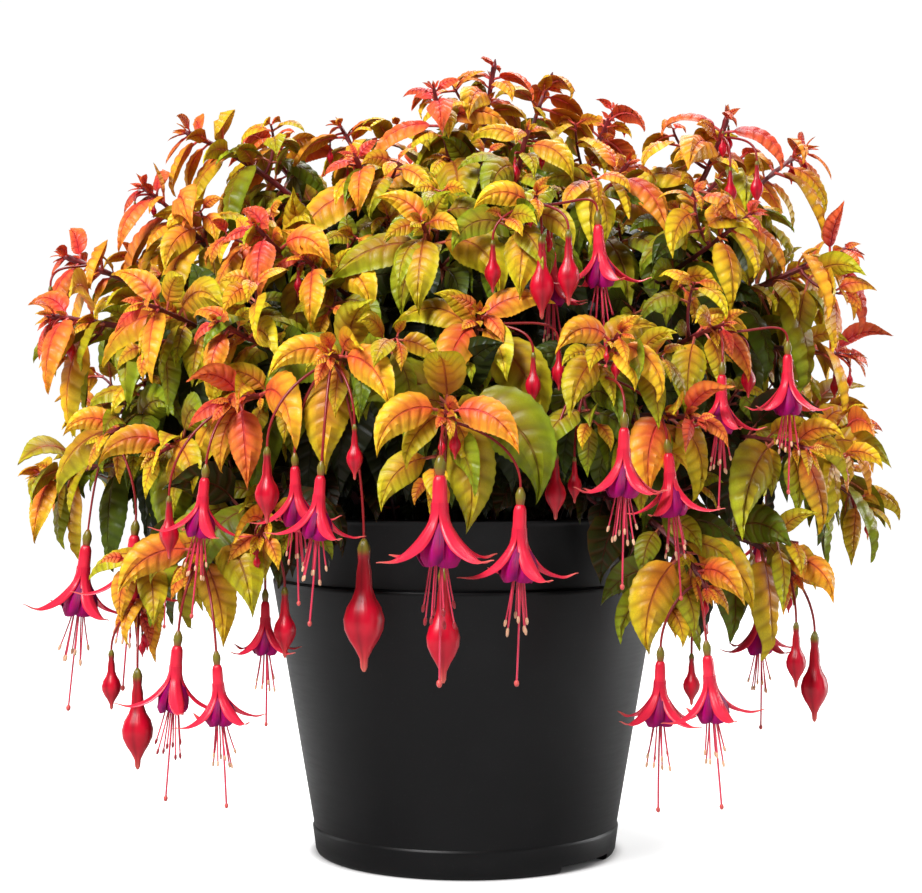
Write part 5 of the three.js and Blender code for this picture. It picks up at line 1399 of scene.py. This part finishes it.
def make_soil():
    """Crumbly bark compost with chips lying on it."""
    edge = COLLAR_RADIUS - WALL - 0.4
    profile = [(0, FLOOR + 0.4), (FOOT_RADIUS - WALL - 0.8, FLOOR + 0.4), (edge - 0.4, LEDGE_HEIGHT - WALL)]
    rings = np.linspace(1, 0, 36)[:-1]
    profile += [(edge * share, SOIL_EDGE + (SOIL_CROWN - SOIL_EDGE) * (1 - share)) for share in rings]
    profile.append((0, SOIL_CROWN))

    def ripple(points):
        for point in points[3:].reshape(-1, 3):
            crumb = noise.noise(Vector(point) * 0.12) * 1.6 + noise.noise(Vector(point) * 0.45) * 1.1
            point[2] += crumb
        return points

    shape = Shape("soil_crumbs")
    add_revolved(shape, profile, 110, 0, np.zeros(3), ripple)
    draw = draws(CHIP_SEED)
    for _ in range(CHIPS):
        turn = math.pi * draw()
        out = edge * math.sqrt(abs(draw())) * 0.95
        height = SOIL_CROWN - (SOIL_CROWN - SOIL_EDGE) * out / edge + 0.8 * draw()
        place = np.array([out * math.cos(turn), out * math.sin(turn), height])
        lean = unit(np.array([draw(), draw(), 0.35 * draw()]))
        length = 4 + 2.4 * draw()
        points = place + lean * np.linspace(-0.5, 0.5, 4)[:, None] * length
        radii = (1.1 + 0.5 * draw()) * np.array([0.5, 1, 0.85, 0.4])
        add_tube(shape, points, radii, 5, 0, np.zeros(3), lobes=2, depth=0.35)
    return shape.made([compost()])


def fill(tree, shader, inputs):
    """Sets or links a node's sockets, by number or name."""
    for key, value in inputs.items():
        if isinstance(value, bpy.types.NodeSocket):
            tree.links.new(value, shader.inputs[key])
        else:
            shader.inputs[key].default_value = value


def node(tree, kind, inputs=None, **settings):
    """A shader node with its settings and inputs."""
    made = tree.nodes.new(kind)
    for name, value in settings.items():
        setattr(made, name, value)
    fill(tree, made, inputs or {})
    return made


def blank(name):
    material = bpy.data.materials.new(name)
    material.use_nodes = True
    tree = material.node_tree
    return material, tree, tree.nodes["Principled BSDF"]


def maths(tree, operation, *values, clamp=False):
    made = node(tree, "ShaderNodeMath", dict(enumerate(values)), operation=operation, use_clamp=clamp)
    return made.outputs[0]


def ramp(tree, value, low, high, from_low=0.0, from_high=1.0):
    """Turns a value between low and high into one between the other two, smoothly."""
    inputs = {"Value": value, "From Min": low, "From Max": high, "To Min": from_low, "To Max": from_high}
    return node(tree, "ShaderNodeMapRange", inputs, interpolation_type="SMOOTHSTEP").outputs[0]


def mixed(tree, share, first, second, blend="MIX"):
    made = node(tree, "ShaderNodeMix", data_type="RGBA", blend_type=blend)
    fill(tree, made, {0: share, 6: first, 7: second})
    return made.outputs[2]


def attribute(tree, name):
    return node(tree, "ShaderNodeAttribute", attribute_name=name)


def bumped(tree, shader, height, strength, distance):
    bump = node(tree, "ShaderNodeBump", {"Height": height, "Strength": strength, "Distance": distance})
    tree.links.new(bump.outputs[0], shader.inputs["Normal"])


def noise_of(tree, scale, detail=2.0, vector=None):
    inputs = {"Scale": scale, "Detail": detail}
    if vector is not None:
        inputs["Vector"] = vector
    return node(tree, "ShaderNodeTexNoise", inputs).outputs["Fac"]


def object_place(tree):
    return node(tree, "ShaderNodeTexCoord").outputs["Object"]


def stretched_place(tree, height):
    """The object's coordinates, with the height times a factor."""
    inputs = {"Vector": object_place(tree), "Scale": (1.0, 1.0, height)}
    return node(tree, "ShaderNodeMapping", inputs).outputs[0]


def own_colour(tree, name):
    return attribute(tree, name).outputs["Color"]


def vein_parts(tree):
    """Where a point lies across and along its leaf or petal, and how strong the lines are there."""
    return node(tree, "ShaderNodeSeparateXYZ", {0: attribute(tree, "vein").outputs["Vector"]}).outputs


def leaf_lines(tree, aside, along):
    """The midrib, the side veins and the darker valleys that these lie in: partly the leaf's own colour,
    partly painted shade in the creases of the quilting.
    """
    midrib = ramp(tree, aside, 0.015, 0.075, 0.8, 0.0)
    near_vein = maths(tree, "PINGPONG", maths(tree, "MULTIPLY", along, float(VEIN_INTERVALS)), 0.5)
    side_vein = maths(tree, "MULTIPLY", ramp(tree, near_vein, 0.01, 0.06, 0.48, 0.0),
                      ramp(tree, aside, 0.4, 1.0, 1.0, 0.35))
    # darker beside the veins: partly the leaf's own colour, partly painted shade in the creases
    valley_tone_and_shade = ramp(tree, near_vein, 0.0, 0.3, 0.42, 0.0)
    return maths(tree, "MAXIMUM", maths(tree, "MAXIMUM", midrib, side_vein), valley_tone_and_shade)


def leaf_skin():
    """Puffed leaf between darker veins: midrib, side veins, a fine net and darker valleys beside the veins,
    partly painted shade.
    """
    material, tree, shader = blank("leaf")
    rib = own_colour(tree, "rib")
    across, along, strength = vein_parts(tree)
    aside = maths(tree, "ABSOLUTE", across)
    lines = leaf_lines(tree, aside, along)
    place = object_place(tree)
    cells = node(tree, "ShaderNodeTexVoronoi", {"Vector": place, "Scale": 620.0}, feature="DISTANCE_TO_EDGE")
    net = ramp(tree, cells.outputs["Distance"], 0.02, 0.14, 0.16, 0.0)
    veins = maths(tree, "MULTIPLY", maths(tree, "MAXIMUM", lines, net), strength, clamp=True)
    skin = mixed(tree, veins, own_colour(tree, "tint"), rib)
    edge = maths(tree, "MULTIPLY", ramp(tree, aside, 0.9, 1.0), strength, clamp=True)
    skin = mixed(tree, maths(tree, "MULTIPLY", edge, 0.4), skin, rib)
    patches = ramp(tree, noise_of(tree, 70.0, 3.0, place), 0.3, 0.7, 0.8, 1.12)
    gloss = ramp(tree, noise_of(tree, 1500.0, 2.0, place), 0.3, 0.7, 0.36, 0.5)
    deep = maths(tree, "MULTIPLY", lines, strength, clamp=True)
    bumped(tree, shader, maths(tree, "MULTIPLY", deep, -1.0), 0.9, 0.0008)
    fill(tree, shader, {
        "Base Color": mixed(tree, 1.0, skin, patches, "MULTIPLY"), "Roughness": gloss,
        "Specular IOR Level": 0.24, "Subsurface Weight": 0.1, "Subsurface Radius": (1.0, 0.6, 0.1),
        "Subsurface Scale": 0.002,
    })
    return material


def bark_skin():
    """Stems and leaf stalks, faintly streaked."""
    material, tree, shader = blank("stem")
    streaks = noise_of(tree, 420.0, 3.0, stretched_place(tree, 0.35))
    shade = ramp(tree, streaks, 0.3, 0.7, 0.7, 1.25)
    skin = mixed(tree, 1.0, own_colour(tree, "tint"), shade, "MULTIPLY")
    fill(tree, shader, {"Base Color": skin, "Roughness": 0.45})
    bumped(tree, shader, streaks, 0.4, 0.0004)
    return material


def petal_skin(name, lines, roughness, specular):
    """Sepals, tubes and petals, with fine lines that run along them."""
    material, tree, shader = blank(name)
    across, along, strength = vein_parts(tree)
    stretched = node(tree, "ShaderNodeCombineXYZ", {0: maths(tree, "MULTIPLY", across, lines),
                                                    1: maths(tree, "MULTIPLY", along, 1.5)})
    streaks = noise_of(tree, 1.6, 2.0, stretched.outputs[0])
    line = maths(tree, "MULTIPLY", ramp(tree, streaks, 0.42, 0.68), strength, clamp=True)
    skin = mixed(tree, maths(tree, "MULTIPLY", line, 0.55), own_colour(tree, "tint"), own_colour(tree, "rib"))
    patches = ramp(tree, noise_of(tree, 160.0, 2.0, object_place(tree)), 0.3, 0.7, 0.94, 1.06)
    fill(tree, shader, {
        "Base Color": mixed(tree, 1.0, skin, patches, "MULTIPLY"), "Roughness": roughness,
        "Specular IOR Level": specular, "Subsurface Weight": 0.15, "Subsurface Radius": (1.0, 0.2, 0.3),
        "Subsurface Scale": 0.0015,
    })
    bumped(tree, shader, line, 0.25, 0.0003)
    return material


def plastic():
    """Black moulded plastic with faint rings and a little dust."""
    material, tree, shader = blank("black plastic")
    place = object_place(tree)
    rings = noise_of(tree, 55.0, 3.0, stretched_place(tree, 14.0))
    dust = ramp(tree, noise_of(tree, 26.0, 6.0, place), 0.5, 0.78)
    speck = ramp(tree, noise_of(tree, 900.0, 1.0, place), 0.66, 0.74, 0.0, 0.5)
    marks = maths(tree, "ADD", maths(tree, "MULTIPLY", dust, 0.3), speck, clamp=True)
    skin = mixed(tree, marks, (0.0035, 0.0035, 0.004, 1), (0.011, 0.011, 0.012, 1))
    gloss = ramp(tree, rings, 0.3, 0.7, 0.4, 0.44)
    fill(tree, shader, {"Base Color": skin, "Roughness": gloss, "Specular IOR Level": 0.25})
    bumped(tree, shader, rings, 0.03, 0.0004)
    return material


def compost():
    """Dark compost with paler grains."""
    material, tree, shader = blank("compost")
    grain = noise_of(tree, 330.0, 5.0, object_place(tree))
    skin = mixed(tree, ramp(tree, grain, 0.35, 0.7), (0.012, 0.008, 0.005, 1), (0.09, 0.05, 0.028, 1))
    fill(tree, shader, {"Base Color": skin, "Roughness": 0.92})
    bumped(tree, shader, grain, 0.8, 0.0015)
    return material


def add_area_light(name, place, target, size, power):
    data = bpy.data.lights.new(name, "AREA")
    data.shape = "RECTANGLE"
    data.size, data.size_y = size
    data.energy = power
    lamp = bpy.data.objects.new(name, data)
    lamp.location = place
    lamp.rotation_euler = (Vector(target) - Vector(place)).to_track_quat("-Z", "Y").to_euler()
    bpy.context.scene.collection.objects.link(lamp)


# The floor's shadow beside the pot is painted into its glow, not cast
PAINTED_SHADOW_PLACE = (0.022, 0.012, 0.0)  # the middle of the pot's soft shadow, a little off its axis


def make_floor():
    """A floor that glows white for the camera, with a painted soft shadow where it glows less under and right
    beside the pot.
    """
    bpy.ops.mesh.primitive_plane_add(size=12, location=(0, 0, 0))
    floor = bpy.context.object
    floor.name = "studio_floor"
    material, tree, shader = blank("studio white")
    fill(tree, shader, {"Base Color": (0.6, 0.6, 0.6, 1), "Roughness": 0.9, "Specular IOR Level": 0.1,
                        "Emission Color": (1, 1, 1, 1)})
    seen = node(tree, "ShaderNodeLightPath").outputs["Is Camera Ray"]
    place = object_place(tree)
    beside = node(tree, "ShaderNodeVectorMath", {0: place, 1: PAINTED_SHADOW_PLACE}, operation="DISTANCE")
    outward = node(tree, "ShaderNodeVectorMath", {0: place, 1: (0.0, 0.0, 0.0)}, operation="DISTANCE")
    # the glow is dimmed near the pot and under it: a painted contact shadow
    glow_with_painted_shadow = maths(tree, "MULTIPLY", ramp(tree, beside.outputs["Value"], 0.07, 0.122, 0.68, 1.0),
                 ramp(tree, outward.outputs["Value"], 0.074, 0.084, 0.02, 1.0))
    tree.links.new(maths(tree, "MULTIPLY", seen, glow_with_painted_shadow), shader.inputs["Emission Strength"])
    floor.data.materials.append(material)


def make_studio():
    scene = bpy.context.scene
    scene.view_settings.view_transform = "Standard"
    world = bpy.data.worlds.new("studio")
    world.use_nodes = True
    tree = world.node_tree
    background = tree.nodes["Background"]
    seen = node(tree, "ShaderNodeLightPath").outputs["Is Camera Ray"]
    tree.links.new(ramp(tree, seen, 0.0, 1.0, 0.07, 1.02), background.inputs["Strength"])
    background.inputs["Color"].default_value = (1, 1, 1, 1)
    scene.world = world
    add_area_light("key", (-0.8, -1.2, 1.5), (0, 0, 0.25), (0.6, 0.6), 49)
    add_area_light("fill", (1.3, -1.3, 0.6), (0, 0, 0.22), (1.1, 1.1), 4.4)
    add_area_light("top", (0.25, 0.75, 1.5), (0, 0, 0.3), (0.9, 0.9), 20)
    add_area_light("rim_left", (-1.1, 0.45, 0.25), (0, 0, 0.1), (0.25, 0.9), 2.6)
    add_area_light("rim_right", (1.1, 0.45, 0.3), (0, 0, 0.1), (0.25, 0.9), 9.5)


CAMERA_PLACE = (-0.00234, -1.068, 0.225)
CAMERA_DROP = math.radians(0.824)
LENS = 80.04


def make_camera():
    data = bpy.data.cameras.new("photo")
    data.lens = LENS
    data.sensor_width = 36
    camera = bpy.data.objects.new("photo", data)
    camera.location = CAMERA_PLACE
    camera.rotation_euler = (math.pi / 2 - CAMERA_DROP, 0, 0)
    bpy.context.scene.collection.objects.link(camera)
    bpy.context.scene.camera = camera


def stand_for(piece, node_name):
    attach(piece, "root")
    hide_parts(node_name)


def grow_stems(spray):
    leader = leader_stem(spray)
    shoots = spray["shoots"]
    sides = [side_stem(leader, fork_of(leader, shoots[0], shoot["from"]), shoot) for shoot in shoots[1:]]
    return [leader, *sides]


def stem_radii(i):
    return LEADER_RADIUS if i == 0 else SHOOT_RADIUS


class Plant:
    """The stems, the leaves and flowers of the solids, and then the further leaves between them."""

    def __init__(self):
        self.crowd = Crowd()
        self.stems = {spray["name"]: grow_stems(spray) for spray in SPRAYS}
        self.trees = {name: tree_of(name) for name in self.stems}
        self.leaves = {}
        for i, spray in enumerate(SPRAYS):
            self.leaves[spray["name"]] = [
                solid_leaves(self.trees[spray["name"]], stem, spray["shoots"][j],
                             SPRAY_SEED * (i + 1) + SHOOT_SEED * j)
                for j, stem in enumerate(self.stems[spray["name"]])
            ]
        for rows in self.leaves.values():
            for leaf in (leaf for row in rows for leaf in row):
                self.crowd.take(leaf.frames(SAMPLES)[0], LEAF_ROOM)
        self.flowers = [self.placed(cluster) for cluster in CLUSTERS]

    def placed(self, cluster):
        spray, shoot = cluster["on"]
        stem = self.stems[spray][shoot]
        tree = tree_of(cluster.get("name", spray))
        knuckle = knuckle_of(tree, cluster, stem)
        places = [flower_place(tree, flower) for flower in cluster["flowers"]]
        for flower, (matrix, share) in zip(cluster["flowers"], places):
            depths = np.linspace(5, 75, 8) * flower["scale"]
            self.crowd.take(on_axis(matrix, depths), FLOWER_ROOM)
            for turn in SEPAL_TURNS:
                centres = Sepal(flower["scale"], turn, share).frames(np.array([0.5, 1.0]))[0]
                self.crowd.take(moved(matrix, centres), SEPAL_ROOM)
        for bud in cluster["buds"]:
            depths = np.linspace(0.1, 1, 5)[:, None] * bud["length"]
            self.crowd.take(np.array(bud["top"]) + DOWN * depths, BUD_ROOM)
        return {"cluster": cluster, "knuckle": knuckle, "places": places}


BARE_LEADER = 32
BARE_SHOOT = 12
OFFSET_FURTHER = 0.7


def tip_leaves(stem, shoot, is_side, draw):
    """The tiny leaves in the axils of a shoot's pairs, and a side shoot's youngest pair."""
    backs = [back for back in PAIR_BACK[1:shoot["pairs"]] if draw() > -0.4]
    tiny = tuft_leaves(stem, backs, shoot, draw)
    if is_side:
        for side in (0, 1):
            chance = {"angle": draw(), "roll": draw(), "size": draw(), "bend": draw()}
            tiny.append((solid_leaf(stem, shoot, 0, side, chance, LEAF_TRIES[0]), PAIR_STAGE[0]))
    return tiny


def add_shoot(shape, plant, spray, j, draw):
    """A stem of a spray, its own leaves as the solids have them, and then the further ones."""
    stem, shoot = plant.stems[spray["name"]][j], spray["shoots"][j]
    red = GROUP_RED[spray["colour"]]
    offset = GROUP_STAGE[spray["colour"]] + 0.7 * draw()
    leaves = plant.leaves[spray["name"]][j]
    add_stem(shape, stem, stem_radii(j), sorted({stem.length - leaf.back for leaf in leaves}))
    for leaf in leaves:
        detail = SMALL if leaf.length < FINE_FROM else FINE
        add_leaf(shape, leaf, detail, PAIR_STAGE[leaf.pair] + offset, red, draw)
    bare = BARE_LEADER if j == 0 else BARE_SHOOT
    further = older_leaves(plant.crowd, stem, shoot, draw, bare)
    further += between_leaves(plant.crowd, stem, shoot, draw)
    tiny = tip_leaves(stem, shoot, j > 0, draw)
    for leaf, stage in further:
        add_leaf(shape, leaf, detail_of(leaf), stage + offset * OFFSET_FURTHER, red, draw)
    for leaf, stage in twig_leaves(shape, plant.crowd, stem, bare, draw):
        add_leaf(shape, leaf, detail_of(leaf), stage + offset * OFFSET_FURTHER, red, draw)
    if draw() > -0.2:
        add_tiny_buds(shape, stem, draw)
    for leaf, stage in tiny:
        if fits(leaf):
            add_leaf(shape, leaf, detail_of(leaf), stage + offset, red, draw)


def make_spray(plant, seed, spray, materials):
    """A leafy spray in place of its solid, with the buds that belong to it."""
    name = spray["name"]
    shape = Shape(name + "_grown")
    red = GROUP_RED[spray["colour"]]
    draw = draws(seed)
    for j in range(len(spray["shoots"])):
        add_shoot(shape, plant, spray, j, draw)
    for leaf, stage in basal_leaves(shape, plant.crowd, spray["root"], draw):
        add_leaf(shape, leaf, detail_of(leaf), stage, red, draw)
    for place in plant.flowers:
        cluster = place["cluster"]
        if "name" not in cluster and cluster["on"][0] == name:
            for bud in cluster["buds"]:
                add_bud(shape, place["knuckle"], bud, draw)
    stand_for(shape.made(materials), name)


KNUCKLE_RADII = np.array([0.5, 1.2, 1.35, 1.2, 0.5])
KNUCKLE_HALF = 1.3


def make_cluster(place, seed, petal, corolla):
    """A named cluster's stalks, flowers and buds in place of its solid, and its corollas beside it."""
    cluster = place["cluster"]
    if "name" not in cluster:
        return
    draw = draws(seed)
    shape = Shape(cluster["name"] + "_grown")
    knuckle = place["knuckle"]
    heights = np.linspace(-KNUCKLE_HALF, KNUCKLE_HALF, len(KNUCKLE_RADII))[:, None]
    add_tube(shape, knuckle + UP * heights, KNUCKLE_RADII, 8, PETAL, STALK_RED)
    for i, (flower, (matrix, share)) in enumerate(zip(cluster["flowers"], place["places"])):
        own_name = f"{cluster['name'].replace('bloom', 'corolla')}_{i + 1}"
        petals = Shape(own_name + "_petals")
        add_flower(shape, petals, knuckle, flower, matrix, share, draw)
        bell = petals.made([corolla])
        if flower.get("fused"):
            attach(bell, "root")
        else:
            stand_for(bell, own_name)
    for bud in cluster["buds"]:
        add_bud(shape, knuckle, bud, draw)
    stand_for(shape.made([petal] * 3), cluster["name"])


FOLIAGE_SEED = 7000
FLOWER_SEED = 9000

make_camera()
make_studio()
make_floor()
leaf_material = leaf_skin()
stem_material = bark_skin()
petal_material = petal_skin("petal", 5.0, 0.34, 0.4)
corolla_material = petal_skin("corolla", 9.0, 0.5, 0.15)

plant = Plant()
for i, spray in enumerate(SPRAYS):
    make_spray(plant, FOLIAGE_SEED + i, spray, [leaf_material, stem_material, petal_material])
for i, place in enumerate(plant.flowers):
    make_cluster(place, FLOWER_SEED + i, petal_material, corolla_material)
stand_for(make_pot(), "pot")
stand_for(make_soil(), "soil")
